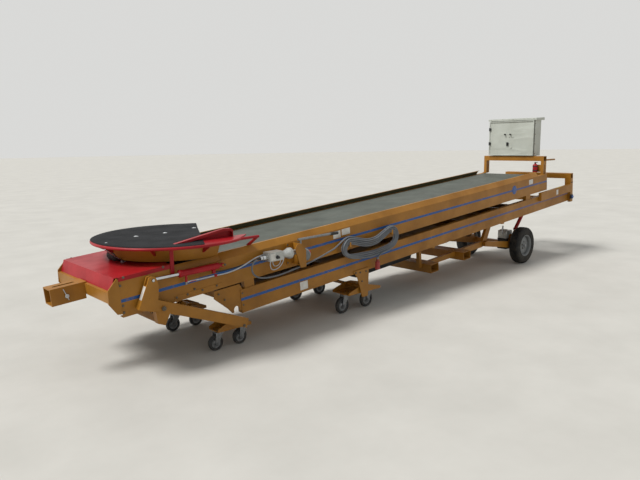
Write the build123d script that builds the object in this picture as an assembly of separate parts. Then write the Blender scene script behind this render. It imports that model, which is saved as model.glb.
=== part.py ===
from build123d import *
import os
from math import sin, cos, radians, hypot, atan2, asin, degrees, pi

os.makedirs("parts", exist_ok=True)

# Driving dimensions, mm. The ramp frame has s along the slope, y across and n square to the slope;
# its origin is the lower front corner of the lower frame.
slope = 4.5
rampX, rampZ = -2815.0, 370.0
halfWidth = 590.0
lowerLength, lowerHeight = 7290.0, 240.0
upperStart, upperEnd = -1200.0, 6400.0
upperBottom, upperTop = 315.0, 585.0
shoeGap = 0.3
guardTop, guardLean = 650.0, 48.0
webThick = 6.0
beltTop, beltThick, beltHalf = 592.0, 8.0, 480.0
drumRadius = 62.0
ramp = Pos(rampX, 0, rampZ) * Rot(0, -slope, 0)


def toWorld(s, n):
    a = radians(slope)
    return rampX + s * cos(a) - n * sin(a), rampZ + s * sin(a) + n * cos(a)


def block(x0, x1, y0, y1, z0, z1):
    return Pos((x0 + x1) / 2, (y0 + y1) / 2, (z0 + z1) / 2) * Box(x1 - x0, y1 - y0, z1 - z0)


def plateXZ(points, y0, y1):
    """A flat plate drawn in X and Z, from y0 to y1."""
    return extrude(Pos(0, y0, 0) * (Plane.XZ * Polygon(*points, align=None)), y1 - y0, dir=(0, 1, 0))


def barX(points, x0, x1):
    """A bar with its section drawn in Y and Z, from x0 to x1."""
    return extrude(Pos(x0, 0, 0) * (Plane.YZ * Polygon(*points, align=None)), x1 - x0, dir=(1, 0, 0))


def rodY(x, z, radius, y0, y1):
    return Pos(x, (y0 + y1) / 2, z) * Rot(90, 0, 0) * Cylinder(radius, y1 - y0)


def rodBetween(a, b, radius):
    a, b = Vector(a), Vector(b)
    return extrude(Plane(origin=a, z_dir=b - a) * Circle(radius), (b - a).length)


def tubeX(x0, x1, y0, y1, z0, z1, wall):
    return block(x0, x1, y0, y1, z0, z1) - block(x0 - 1, x1 + 1, y0 + wall, y1 - wall, z0 + wall, z1 - wall)


def tubeY(x0, x1, y0, y1, z0, z1, wall):
    return block(x0, x1, y0, y1, z0, z1) - block(x0 + wall, x1 - wall, y0 - 1, y1 + 1, z0 + wall, z1 - wall)


def save(name, shape):
    if isinstance(shape, (list, ShapeList)):
        shape = Compound(children=list(shape))
    shape.label = name
    export_step(shape, f"parts/{name}.step")


def side(sign, y0, y1):
    """The span from y0 to y1 outward of the centre line, on the near (-1) or far (+1) side."""
    return (min(sign * y0, sign * y1), max(sign * y0, sign * y1))


def channel(sign, s0, s1, n0, n1, flange):
    """One rolled C-section with its web on the outside."""
    w, h = webThick, halfWidth
    section = [(h, n0), (h, n1), (h - flange, n1), (h - flange, n1 - w), (h - w, n1 - w),
               (h - w, n0 + w), (h - flange, n0 + w), (h - flange, n0)]
    return barX([(sign * y, z) for y, z in section], s0, s1)


# Lower frame: two channels, box cross members and the two stop gussets at its front end.
def lowerFrame():
    body = channel(-1, 0, lowerLength, 0, lowerHeight, 70) + channel(1, 0, lowerLength, 0, lowerHeight, 70)
    inner = halfWidth - webThick
    for s in (70, 1500, 3010, 4400, 5560, 5925, lowerLength - 390):
        body += tubeY(s, s + 60, -inner, inner, 20, 100, 5)
    gusset = [(-290, 300), (-300, 225), (-150, 80), (-112, 30), (-92, 30), (-92, 62), (-80, 82),
              (-60, 90), (-40, 82), (-28, 62), (-28, 30), (0, 30), (40, 30), (40, 225), (0, 300)]
    for sign in (-1, 1):
        body += plateXZ(gusset, *side(sign, inner - 12, inner))
        body += block(0, 10, *side(sign, halfWidth - 70, inner), 6, lowerHeight - 6)
        body += block(60, 180, *side(sign, halfWidth - 62, halfWidth - 8), lowerHeight,
                      upperBottom - shoeGap)
    body = ramp * body
    x, z = rearBarrelPin
    for sign in (-1, 1):
        for e in (rearCylinderY - 28, rearCylinderY + 20):
            ear = [(x - 24, z - 22), (x - 34, z + 130), (x + 34, z + 130), (x + 24, z - 22)]
            body += plateXZ(ear, *side(sign, e, e + 8))
        body += rodY(x, z, pinRadius, *side(sign, rearCylinderY - 28, rearCylinderY + 28))
    return body


# Fork pockets: two open rectangular tubes across the machine on two low rails that rise to the beams.
pocketS = (3210.0, 4010.0)
pocketN = (-400.0, -280.0)
pocketWide, pocketReach = 180.0, halfWidth - 90
railY = (halfWidth - 290, halfWidth - 240)


def forkPockets():
    body = None
    for s in pocketS:
        tube = tubeY(s, s + pocketWide, -pocketReach, pocketReach, *pocketN, 8)
        body = tube if body is None else body + tube
    first = pocketS[0] - 60
    rail = [(first, -282), (4760, -282), (4950, -5), (5060, -5), (4850, -350), (4740, -372), (first, -340)]
    for sign in (-1, 1):
        y0, y1 = side(sign, *railY)
        strip = plateXZ(rail, y0, y1)
        for s in pocketS:
            strip -= block(s, s + pocketWide, y0 - 1, y1 + 1, *pocketN)
        body += strip
        body += block(first, first + 50, y0, y1, -282, -5)
    for s in (first, 4960):
        body += block(s, s + 50, -halfWidth + webThick, halfWidth - webThick, -20, -0.3)
    body = ramp * body
    for pin in pivotPins():
        body += pin
    return body


panS = (1980.0, 3080.0)


def bellyPan():
    s0, s1 = panS
    top, low, deep = halfWidth - 260, halfWidth - 340, -190
    body = barX([(-top, -0.3), (-low, deep), (low, deep), (top, -0.3)], s0, s1)
    body -= barX([(6 - top, 3), (4 - low, deep + 6), (low - 4, deep + 6), (top - 6, 3)], s0 + 6, s1 - 6)
    for sign in (-1, 1):
        body += block(s0, s1, *side(sign, top - 8, halfWidth - webThick), -5, -0.3)
    return ramp * body


# Rear portal on the lower frame with the raised boxes that its legs stand on.
def rearPortal():
    s1, y1 = lowerLength, halfWidth + 50
    body = tubeY(s1 - 90, s1, -y1, y1, 400, 490, 6)
    for sign in (-1, 1):
        body += block(s1 - 90, s1, *side(sign, halfWidth + 0.3, y1), -20, 402)
        body += block(s1 - 84, s1 - 50, *side(sign, halfWidth - 60, halfWidth + 1), lowerHeight + 1, 402)
        y2, y3 = side(sign, halfWidth + 0.3, y1)
        s0 = s1 - 1180
        body += block(s0, s1 - 90, y2, y3, 165, 300) - block(s0 + 6, s1 - 96, y2 + 6, y3 - 6, 171, 294)
    return ramp * body


# Mid stand: a tapered leg on each beam and one cross axle for the two castor carriers.
midAxle = (-1020.0, 300.0)
midCentre = -1000.0
castorY = halfWidth - 160


def midStand():
    leg = [(-1235, 528), (-1160, 440), (-1085, 205), (-1075, 196), (-1000, 196), (-985, 205),
           (-972, 470), (-972, 548), (-1235, 532)]
    body = rodY(*midAxle, 20, -halfWidth - 6, halfWidth + 6)
    for sign in (-1, 1):
        body += plateXZ(leg, *side(sign, halfWidth, halfWidth + 12))
    return body


# Castors: a swivel fork and a wheel each; the top plate is on the carrier.
castorTable = [  # name, carrier, swivel x, y, wheel radius, trail, tread width
    ("front_near_a", "front_near", -3005.0, -castorY, 80.0, 40.0, 50.0),
    ("front_near_b", "front_near", -2715.0, -castorY, 80.0, 40.0, 50.0),
    ("front_far_a", "front_far", -3005.0, castorY, 80.0, 40.0, 50.0),
    ("front_far_b", "front_far", -2715.0, castorY, 80.0, 40.0, 50.0),
    ("mid_near_a", "mid_near", -1210.0, -castorY, 100.0, 50.0, 50.0),
    ("mid_near_b", "mid_near", -790.0, -castorY, 100.0, 50.0, 50.0),
    ("mid_far_a", "mid_far", -1210.0, castorY, 100.0, 50.0, 50.0),
    ("mid_far_b", "mid_far", -790.0, castorY, 100.0, 50.0, 50.0),
]


def castorFork(x, y, radius, trail, width):
    crown = 2 * radius + 28
    wheelX = x - trail
    inner = width / 2 + 6
    body = block(x - 46, x + 40, y - inner - 6, y + inner + 6, crown - 8, crown)
    body += Pos(x, y, crown + 5) * Cylinder(32, 10)
    leg = [(x + 38, crown - 2), (x - 46, crown - 2), (wheelX - 24, radius + 8),
           (wheelX - 20, radius - 14), (wheelX + 20, radius - 14), (wheelX + 26, radius + 8)]
    for sign in (-1, 1):
        y0, y1 = side(sign, inner, inner + 6)
        body += plateXZ(leg, y + y0, y + y1)
    body += rodY(wheelX, radius, 8, y - inner - 6, y + inner + 6)
    for sign in (-1, 1):
        y0, y1 = side(sign, inner + 6, inner + 12)
        body += rodY(wheelX, radius, 13, y + y0, y + y1)
    return body


def castorWheel(x, y, radius, trail, width):
    half = width / 2
    outline = [(8.1, -half), (20, -half), (22, -half * .5), (radius * .66, -half * .45),
               (radius * .7, -half * .92), (radius * .93, -half * .88), (radius, -half * .45),
               (radius, half * .45), (radius * .93, half * .88), (radius * .7, half * .92),
               (radius * .66, half * .45), (22, half * .5), (20, half), (8.1, half)]
    ring = revolve(Plane.XZ * Polygon(*outline, align=None), Axis.Z)
    return Pos(x - trail, y, radius) * Rot(90, 0, 0) * ring


# Castor carriers: an open channel hung from a pin, with a top plate for each castor.
frontShaft = (-2860.0, 270.0)


def carrier(cx, pin, y, base, length, width, rise, spacing, bore):
    """A plate centred on cx under two webs that hang from the pin at (x, z)."""
    px, pz = pin
    body = block(cx - length / 2, cx + length / 2, y - width / 2, y + width / 2, base, base + 8)
    web = [(cx - length / 2, base + 8), (cx - length / 2, base + 30), (px - 50, pz + rise),
           (px + 50, pz + rise), (cx + length / 2, base + 30), (cx + length / 2, base + 8)]
    for sign in (-1, 1):
        y0, y1 = side(sign, width / 2 - 8, width / 2)
        body += plateXZ(web, y + y0, y + y1)
    body += rodY(px, pz, bore + 7, y - width / 2, y + width / 2)
    body -= rodY(px, pz, bore + 0.06, y - width / 2 - 1, y + width / 2 + 1)
    for dx in (-spacing / 2, spacing / 2):
        body += Pos(cx + dx, y, base - 1.5) * Cylinder(30, 3)
    return body


# Front lever: two side arms with their clevises, the low cross tube and the shaft for the carriers.
leverPivot = (-3705.0, 620.0)
leverPinRadius = 22.0
rodPin = (-3785.0, 885.0)
leverY = (halfWidth + 22, halfWidth + 82)


leverTube = Pos(-3716, 0, 508) * Rot(0, 22, 0)


def frontLever():
    outer = [(-3932, 650), (-3842, 862), (-3824, 912), (-3795, 920), (-3762, 908), (-3746, 870),
             (-3736, 820), (-3750, 704), (-2802, 330), (-2828, 238), (-3700, 580), (-3905, 640)]
    ear = [(-3780, 600), (-3764, 492), (-3696, 463), (-3640, 570)]
    body = leverTube * tubeY(-30, 30, -leverY[1] + 4, leverY[1] - 4, -30, 30, 6)
    for sign in (-1, 1):
        y0, y1 = side(sign, *leverY)
        arm = plateXZ(outer, y0, y1) + plateXZ(ear, y0, y1)
        arm -= block(-3900, -3700, *side(sign, leverY[0] + 12, leverY[1] - 12), 842, 930)
        arm -= rodY(*rodPin, pinRadius + 4, y0 - 1, y1 + 1)
        arm -= rodY(*leverPivot, leverPinRadius + 0.06, y0 - 1, y1 + 1)
        body += arm
    return body + rodY(*frontShaft, 17, -leverY[1], leverY[1])


# Hydraulic cylinders: an eye at each end, pinned to a bracket that the frame carries.
def cylinderParts(a, b, y, barrelRadius, barrelLength, eye, rodStart):
    """Barrel from pin a; the rod starts rodStart from a and ends at pin b; both pins are (x, z)."""
    length = hypot(b[0] - a[0], b[1] - a[1])
    ux, uz = (b[0] - a[0]) / length, (b[1] - a[1]) / length

    def at(d):
        return a[0] + ux * d, y, a[1] + uz * d

    barrel = rodBetween(at(eye + 20), at(barrelLength), barrelRadius)
    barrel += rodBetween(at(barrelLength - 22), at(barrelLength + 6), barrelRadius + 4)
    barrel += rodBetween(at(6), at(eye + 22), barrelRadius * .47)
    barrel += rodY(a[0], a[1], eye - 6, y - 12, y + 12)
    barrel -= rodY(a[0], a[1], pinRadius + 0.06, y - 40, y + 40)
    barrel -= rodBetween(at(eye + 40), at(barrelLength + 40), rodRadius + 1)
    rod = rodBetween(at(rodStart), at(length - eye + 10), rodRadius)
    rod += rodY(b[0], b[1], eye - 6, y - 12, y + 12)
    return barrel, rod


def openPin(sign):
    """The rear rod's pin with a wide washer outside each ear, over the open pivot's wider hole."""
    y0, y1 = armY
    body = rodY(*rearRodPin, pinRadius, *side(sign, y0 - 5, y1 + 5))
    body += rodY(*rearRodPin, 34, *side(sign, y0 - 5, y0 - 1))
    return body + rodY(*rearRodPin, 34, *side(sign, y1 + 1, y1 + 5))


barrelPin = toWorld(-205, 555)
rearBarrelPin = (3125.0, 792.0)
rearRodPin = (2790.0, 440.0)
cylinderY, rearCylinderY = halfWidth + 52, halfWidth - 207
rodRadius, pinRadius = 16.0, 12.0


def barrelPorts(y):
    """Two oil ports under the front barrel; a steel pipe brings the far one back beside the near one."""
    far, near = toWorld(-600, 492), toWorld(-300, 505)
    body = rodBetween((far[0], y, far[1] + 60), (far[0], y, far[1] - 16), 11)
    body += rodBetween((far[0], y, far[1] - 8), (near[0], y - 12, near[1] - 30), 6)
    body += block(near[0] - 6, near[0] + 16, y - 24, y - 2, near[1] - 41, near[1] - 19)
    return body + block(near[0] - 14, near[0] + 16, y + 1, y + 23, near[1] - 12, near[1] + 30)


# Upper frame: channels with the leaning guards, slider bed, cross members and the pin bosses.
def upperFrame():
    body = None
    w, h = webThick, halfWidth
    for sign in (-1, 1):
        beam = channel(sign, upperStart, upperEnd, upperBottom, upperTop, 60)
        lip = h - guardLean
        guard = [(h, upperTop), (lip, guardTop), (lip - 24, guardTop), (lip - 24, guardTop - 4),
                 (lip - 2, guardTop - 4), (h - 6, upperTop - 2)]
        beam += barX([(sign * y, z) for y, z in guard], -180, 6090)
        body = beam if body is None else body + beam
        px, pz = -870, upperBottom + 22
        boss = [(px - 90, pz - 50), (px + 90, pz - 50), (px + 130, pz + 70), (px - 130, pz + 70)]
        body += plateXZ(boss, *side(sign, h - w - 8, h))
        bx = -205
        body += plateXZ([(bx - 42, 525), (bx + 52, 525), (bx + 42, 583), (bx - 32, 583)],
                        *side(sign, h, h + 8))
    inner = h - w
    for s in (-1150, -300, 560, 1900, 3300, 4700, 6100):
        body += tubeY(s, s + 50, -inner, inner, 350, 410, 4)
    body += block(-250, 6150, -inner, inner, beltTop - beltThick - 4, beltTop - beltThick - 1)
    for sign in (-1, 1):
        body += block(5700, 5840, *side(sign, h - 62, h - 8), lowerHeight + shoeGap, upperBottom)
    body = ramp * body
    for x, z, radius, y0, _, _ in framePinTable:
        for sign in (-1, 1):
            body -= rodY(x, z, radius + 0.1, *side(sign, y0 - 1, halfWidth + 20))
    return body


framePinTable = [  # x, z, radius, inner end, outer end, head radius
    (*leverPivot, leverPinRadius, halfWidth - webThick - 8, leverY[1] + 8, 30),
    (*barrelPin, pinRadius, halfWidth - webThick, cylinderY + 20, 17),
]


def framePins():
    """The lever pivots and the cylinder pins, each through its hole in the web, with a head inside."""
    pins = []
    for x, z, radius, y0, y1, head in framePinTable:
        for sign in (-1, 1):
            pin = rodY(x, z, radius, *side(sign, y0 - 8, y1))
            pins.append(pin + rodY(x, z, head, *side(sign, y0 - 8, y0 - 0.2)))
    return pins


def headCrossbar():
    body = tubeY(-1300, -1209, -halfWidth, halfWidth, 462, 562, 6)
    cheek = [(-1200.3, 650), (-1210, 664), (-1298, 578), (-1308, 460), (-1245, 355), (-1200.3, 348)]
    for sign in (-1, 1):
        body += plateXZ(cheek, *side(sign, halfWidth - 8, halfWidth + 4))
        body += block(-1210, -1200.3, *side(sign, halfWidth - 76, halfWidth + 4), 350, 640)
    return ramp * body


# Tow socket on the front crossbar with an open mouth, a slotted top and a pin hole.
socketS, socketN, socketHalf = (-1599.0, -1300.0), (422.0, 574.0), 85.0
towHole = (-1440.0, 20.0)


def towSocket():
    s0, s1 = socketS
    n0, n1 = socketN
    body = tubeX(s0, s1, -socketHalf, socketHalf, n0, n1, 10)
    body -= block(s0 + 50, s1 - 60, -16, 16, n1 - 12, n1 + 2)
    body += block(s1 - 6, s1, -socketHalf, socketHalf, n0, n1)
    body += block(s1 - 10, s1 + 20, -socketHalf, socketHalf, 562.5, n1)
    body -= Pos(towHole[0], 0, n0) * Cylinder(towHole[1], 60)
    return ramp * body


# Red hood over the head of the belt, bent from one sheet with a leaning front lip.
def hood():
    top, start, end, reach = 668, -1199.9, -700, halfWidth - 10
    body = plateXZ([(-1272, 562.3), (-1230, top), (end, top), (end, top - 3), (-1227, top - 3),
                    (-1269, 562.3)], -reach, reach)
    for sign in (-1, 1):
        body += block(start, end, *side(sign, halfWidth + 0.3, halfWidth + 3.3), 632, top)
        body += block(start, end, *side(sign, reach - 1, halfWidth + 3.3), top - 3, top)
    return ramp * body


# Loading table: a level round plate, cut slantwise over the belt, with its rim tube, skirt and side guard.
tableX, tableZ, tableRadius = -3225.0, 1142.0, 740.0
skirtTop, skirtLow, skirtEnd = tableRadius - 96, tableRadius - 163, -3055.0
rimGap, rimTube = 15.5, 13.5
rimSideY, railEnd = halfWidth + 70, -2640.0
cutLine = [(545, 440), (54, -halfWidth + 95)]
strapTable = [  # x, side, foot
    (-3560.0, -1, halfWidth + 3.6), (-3560.0, 1, halfWidth + 3.6), (-2960.0, 1, halfWidth + 0.3),
]


def tableCut():
    """What is cut from the plate and the skirt, beyond the slanting line and inward of the side guard."""
    (x0, y0), (x1, y1) = cutLine
    x2 = x0 + (x0 - x1) * (1000 - y0) / (y0 - y1)
    cut = Polygon((x2, 1000), (x1, y1), (1500, y1), (1500, 1000), align=None)
    return Pos(tableX, 0, tableZ) * extrude(cut, 200, both=True)


def tablePlate():
    return Pos(tableX, 0, tableZ - 12) * extrude(Circle(tableRadius), 12) - tableCut()


def tableRim():
    r = tableRadius + rimGap
    a = degrees(asin(rimSideY / r))
    z = tableZ - 10
    path = Pos(tableX, 0, z) * Wire([CenterArc((0, 0), r, a, 360 - 2 * a)])
    body = sweep(Plane(origin=path @ 0, z_dir=path % 0) * Circle(rimTube), path=path)
    elbow = path @ 1
    body += Pos(elbow) * Sphere(rimTube) + rodBetween(elbow, (railEnd, elbow.Y, z), rimTube)
    lug = [(r - 3, -14), (r - 3, -24), (skirtTop - 18, -92), (skirtTop - 36.8, -92),
           (skirtTop - 1.2, -16), (r - 30, -16)]
    for angle in (-133, -92, 92, 133, 180):
        body += Pos(tableX, 0, tableZ) * Rot(0, 0, angle) * plateXZ(lug, -5, 5)
    for x, sign, foot in strapTable:
        reach = (r ** 2 - (x - tableX) ** 2) ** .5
        strap = [(foot, 870), (foot, z - 2.5), (reach, z - 2.5), (reach, z - 10.5),
                 (foot + 8, z - 10.5), (foot + 8, 870)]
        body += barX([(sign * y, height) for y, height in strap], x - 18, x + 18)
    lip = halfWidth - guardLean
    step = [(rimSideY + 8, z - 4), (lip - 18, z - 91), (lip - 18, z - 97), (lip + 2, z - 97),
            (rimSideY + 8, z - 14)]
    return body + barX([(-y, height) for y, height in step], railEnd - 55, railEnd - 15)


def tableSkirt():
    top, low = tableZ - 12.5, tableZ - 155
    cone = loft([Pos(tableX, 0, top) * Circle(skirtTop), Pos(tableX, 0, low) * Circle(skirtLow)])
    core = loft([Pos(tableX, 0, top + 1.5) * Circle(skirtTop - 5),
                 Pos(tableX, 0, low + 5) * Circle(skirtLow - 6)])
    return cone - core - tableCut() - block(skirtEnd, tableX + 800, -800, 800, low - 1, top + 1)


def tableGuard():
    z = tableZ + 0.3
    wedge = [(-3520, z), (-2965, z + 88), (-2882, z + 84), (-2856, z + 64), (-2856, z)]
    inner = [(-3340, z + 4), (-2965, z + 64), (-2888, z + 60), (-2866, z + 48), (-2866, z + 4)]
    y = -halfWidth + 50
    return plateXZ(wedge, y, y + 40) - plateXZ(inner, y - 1, y + 34)


# Rear axle: two trailing arms on the rails' ends, the axle beam, its stubs and the drive box.
axlePivot = toWorld(4790, -326)
roadAxle = (2905.0, 300.0)
wheelY, tyreRadius, tyreWidth, rimRadius = halfWidth - 80, 300.0, 165.0, 168.0
armY = (halfWidth - 232, halfWidth - 182)
openPivotRadius = 25.5


def rearAxle():
    px, pz = axlePivot
    ax, az = roadAxle
    body = tubeY(ax - 40, ax + 40, -armY[1], armY[1], az - 40, az + 40, 8)
    arm = [(px - 40, pz - 32), (px - 40, pz + 30), (px + 20, pz + 46), (ax - 60, az + 52),
           (ax + 46, az + 46), (ax + 52, az - 46), (ax - 80, az - 50), (px + 20, pz - 42)]
    rx, rz = rearRodPin
    ear = [(rx - 62, rz - 100), (rx - 44, rz + 20), (rx - 24, rz + 40), (rx + 24, rz + 40),
           (rx + 44, rz + 20), (rx + 62, rz - 100)]
    for sign in (-1, 1):
        body += plateXZ(arm, *side(sign, *armY))
        for e in (armY[0], armY[1] - 8):
            y0, y1 = side(sign, e, e + 8)
            body += plateXZ(ear, y0, y1) - rodY(rx, rz, openPivotRadius, y0 - 1, y1 + 1)
        body += rodY(ax, az, 20, *side(sign, armY[1] - 8, wheelY + 50))
        body += rodY(ax, az, 34, *side(sign, armY[1], armY[1] + 10))
    return body - rodY(px, pz, 16.06, -armY[1] - 12, armY[1] + 12)


def pivotPins():
    return [rodY(*axlePivot, 16, *side(sign, railY[1] - 5, armY[1] + 4)) for sign in (-1, 1)]


def driveBox():
    body = block(2690, 2860, -345, -190, 395, 540) + block(2700, 2856, -338, -200, 240, 396)
    return body + block(2855, 2864.7, -330, -200, 262, 338)


def roadRim(sign):
    r, w = rimRadius, tyreWidth / 2
    section = [(20.06, -40), (40, -40), (44, 4), (66, 22), (118, 26), (132, -18), (r - 12, -w + 16),
               (r - 4, -w + 14), (r + 8, -w + 8), (r + 8, -w + 14), (r, -w + 20), (r - 6, -w + 34),
               (r - 12, 0), (r - 6, w - 34), (r, w - 20), (r + 8, w - 14), (r + 8, w - 8),
               (r - 2, w - 12), (r - 12, w - 26), (r - 18, 0), (150, 24), (118, 34), (64, 31),
               (44, 46), (20.06, 46)]
    ring = revolve(Plane.XZ * Polygon(*section, align=None), Axis.Z)
    return Pos(roadAxle[0], sign * wheelY, roadAxle[1]) * Rot(90 * sign * -1, 0, 0) * ring


def roadTyre(sign):
    r, w, t = rimRadius, tyreWidth / 2, tyreRadius
    section = [(r + 8.2, -w + 8), (r + 30, -w + 1), (r + 78, -w), (t - 22, -w + 8),
               (t - 6, -w + 22), (t, -w + 44), (t, w - 44), (t - 6, w - 22), (t - 22, w - 8),
               (r + 78, w), (r + 30, w - 1), (r + 8.2, w - 8), (r + 8.2, w - 14), (r + 0.3, w - 20),
               (r - 5.7, w - 34), (r + 6, w - 34), (r + 60, w - 16), (t - 26, w - 30),
               (t - 12, w - 50), (t - 12, -w + 50), (t - 26, -w + 30), (r + 60, -w + 16),
               (r + 6, -w + 34), (r - 5.7, -w + 34), (r + 0.3, -w + 20), (r + 8.2, -w + 14)]
    ring = revolve(Plane.XZ * Polygon(*section, align=None), Axis.Z)
    return Pos(roadAxle[0], sign * wheelY, roadAxle[1]) * Rot(90, 0, 0) * ring


# Belt: one closed loop round its two drums.
headS, tailS = -1085.0, 6190.0
drumN = beltTop - beltThick - drumRadius - 1


def beltLoop():
    def slot(r):
        return Pos((headS + tailS) / 2, drumN) * SlotCenterToCenter(tailS - headS, 2 * r)
    ring = slot(drumRadius + 1 + beltThick) - slot(drumRadius + 1)
    return ramp * extrude(Pos(0, -beltHalf, 0) * (Plane.XZ * ring), 2 * beltHalf, dir=(0, 1, 0))


def drums():
    pair = []
    for s in (headS, tailS):
        body = rodY(s, drumN, drumRadius, -beltHalf - 10, beltHalf + 10)
        for sign in (-1, 1):
            body += rodY(s, drumN, 20, *side(sign, beltHalf + 8, halfWidth - webThick))
        pair.append(ramp * body)
    return pair


# Cabinet on its portal over the tail of the belt, all upright.
portalX, portalY = (3425.0, 3525.0), halfWidth - 25
cabinetX, cabinetY, cabinetZ = (3432.0, 3650.0), (-378.0, 455.0), (1760.0, 2362.0)


def flangeZ(x):
    return rampZ + (x - rampX) * sin(radians(slope)) / cos(radians(slope)) + upperTop / cos(radians(slope))


def cabinetPortal():
    (x0, x1), h = portalX, portalY
    body = block(x0, x1, -h, h, 1672, 1754) - block(x0 + 5, x1 - 5, -h - 1, h + 1, 1677, 1749)
    for sign in (-1, 1):
        y0, y1 = side(sign, h - 48, h)
        for a, b in ((x0, x0 + 42), (x1 - 42, x1)):
            body += plateXZ([(a, flangeZ(a) + 8), (b, flangeZ(b) + 8), (b, 1673), (a, 1673)], y0, y1)
        body += block(x0, x1, y0, y1, 1612, 1672)
        z0, z1 = flangeZ(x0) + 0.3, flangeZ(x1) + 0.3
        body += plateXZ([(x0, z0), (x1, z1), (x1, z1 + 8), (x0, z0 + 8)], *side(sign, h - 48, halfWidth))
    for y in (-300, 380):
        body += block(x0 + 10, cabinetX[1] - 20, y - 20, y + 20, 1753, 1759.7)
    body += block(x1 - 1, x1 + 320, -h, -h + 26, 1676, 1702)
    return body


hingeZ = (cabinetZ[0] + 145, cabinetZ[1] - 162)


def cabinetBody():
    (x0, x1), (y0, y1), (z0, z1) = cabinetX, cabinetY, cabinetZ
    body = block(x0, x1, y0, y1, z0, z1) - block(x0 - 1, x1 - 4, y0 + 4, y1 - 4, z0 + 4, z1 - 4)
    body += block(x0, x0 + 30, y0 + 2, y0 + 26, z0 + 3, z1 - 3)
    body += block(x0, x0 + 30, y1 - 26, y1 - 2, z0 + 3, z1 - 3)
    roof = [(x0 - 32, z1), (x0 - 32, z1 + 30), (x1 + 34, z1 + 46), (x1 + 34, z1)]
    body += plateXZ(roof, y0 - 42, y1 + 30)
    body += block(x1 - 16, x1 - 4, y0 + 60, y1 - 60, z0 + 60, z1 - 60)
    for z in hingeZ:
        for dz in (-34, 34):
            body += block(x0 - 12, x0 + 16, y1, y1 + 11, z + dz - 10, z + dz + 10)
            body += Pos(x0 - 12, y1 + 6, z + dz) * Cylinder(5, 20)
    return body


def cabinetDoor():
    (x0, _), (y0, y1), (z0, z1) = cabinetX, cabinetY, cabinetZ
    body = block(x0 - 18, x0 - 0.5, y0 + 1, y1 - 1, z0 + 2, z1 - 6)
    body -= block(x0 - 15, x0, y0 + 18, y1 - 18, z0 + 18, z1 - 22)
    for z in hingeZ:
        body += Pos(x0 - 12, y1 + 6, z) * Cylinder(6, 46)
        body += block(x0 - 15, x0 - 9, y1 - 2, y1 + 2, z - 23, z + 23)
    for y, z, radius in ((40, z0 + 140, 13), (10, z1 - 277, 8), (80, z1 - 277, 8)):
        body += Pos(x0 - 22, y, z) * Rot(0, 90, 0) * Cylinder(radius, 12)
    return body


# Hydraulic hand and motor pump on the near web.
pumpSeat = -halfWidth - 0.3


def pumpBracket():
    y = pumpSeat
    body = block(-2240, -2070, y - 9.7, y, 775, 1000)
    face = [(-2160, 748), (-2230, 960), (-2205, 1000), (-2150, 1000), (-2085, 930), (-2085, 748)]
    body += plateXZ(face, y - 144.7, y - 136.7)
    body += block(-2170, -2085, y - 138.7, y - 9.7, 775, 785)
    return body + block(-2150, -2142, y - 138.7, y - 7.7, 785, 1000)


def pumpUnit():
    y = pumpSeat - 85.7
    body = block(-2560, -2385, y - 54, y + 58, 868, 958) + block(-2520, -2420, y + 56, pumpSeat, 880, 940)
    body += Pos(-2600, y, 908) * Rot(0, 90, 0) * Cylinder(20, 82)
    bell = [(0, 0), (30, 0), (34, 40), (46, 80), (58, 104), (58, 132), (0, 132)]
    body += Pos(-2386, y, 912) * Rot(0, 90, 0) * revolve(Plane.XZ * Polygon(*bell, align=None), Axis.Z)
    body += block(-2256, -2150.3, y - 24, y + 26, 890, 934)
    motor = Pos(-2079.7, y + 14, 862) * Rot(0, 90, 0) * Cylinder(62, 124)
    return [body, motor + Pos(-2008, y + 14, 862) * Rot(0, 90, 0) * Cylinder(40, 30)]


def pumpLever():
    y = pumpSeat - 109.7
    body = rodBetween((-2130.7, y, 931), (-2130.7, y, 1050), 11)
    body += rodBetween((-2165, y, 1042), (-1600, y, 1050), 13)
    return body + rodBetween((-1700, y, 1048.5), (-1588, y, 1050.2), 17)


# Mains cable: the lead from the pump to the hank, the hank on its two hooks, a short tail and the plug.
cordRadius, hoseRadius = 9.0, 7.0
coilY, coilDepth = -halfWidth - 78, 40.0
hookPlaces, hookRadius = ((-1385.0, 867.0), (-655.0, 929.0)), 9.0
plugX, plugY, plugZ = -886.0, coilY, 580.0


def cordPath(points, trim=0.45):
    """Straight runs joined by tangent arcs, each arc as large as its two runs allow."""
    pts = [Vector(*p) for p in points]
    edges, start, radii = [], pts[0], []
    for i in range(1, len(pts) - 1):
        a, b = pts[i - 1] - pts[i], pts[i + 1] - pts[i]
        cut = trim * min(a.length, b.length)
        a, b = a.normalized(), b.normalized()
        turn = pi - radians(a.get_angle(b))
        radii.append(cut * cos(turn / 2) / sin(turn / 2))
        p0, p1 = pts[i] + a * cut, pts[i] + b * cut
        edges += [Line(start, p0), TangentArc(p0, p1, tangent=-a)]
        start = p1
    edges.append(Line(start, pts[-1]))
    return Wire(edges), radii


def cordTube(name, points, radius):
    path, radii = cordPath(points)
    tube = sweep(Plane(origin=path @ 0, z_dir=path % 0) * Circle(radius), path=path)
    ratio = tube.volume / (pi * radius ** 2 * path.length)
    print(name, "length", round(path.length), "volume ratio", round(ratio, 4), "radii",
          [round(r) for r in radii])
    return tube


def hankShape():
    outline = [(-1500, 850), (-1523, 929), (-1403, 978), (-1178, 941), (-1047, 914), (-905, 926),
               (-790, 984), (-648, 1041), (-527, 1011), (-489, 897), (-540, 782), (-692, 699),
               (-846, 666), (-926, 666), (-1012, 657), (-1191, 665), (-1372, 706), (-1490, 785)]
    face = Plane.XZ * fillet(Polygon(*outline, align=None).vertices(), 14)
    body = extrude(Pos(0, coilY - coilDepth / 2, 0) * face, coilDepth, dir=(0, 1, 0))
    for x, z in hookPlaces:
        body -= rodY(x, z, hookRadius + 0.3, coilY - 40, coilY + 40)
    return body


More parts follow.
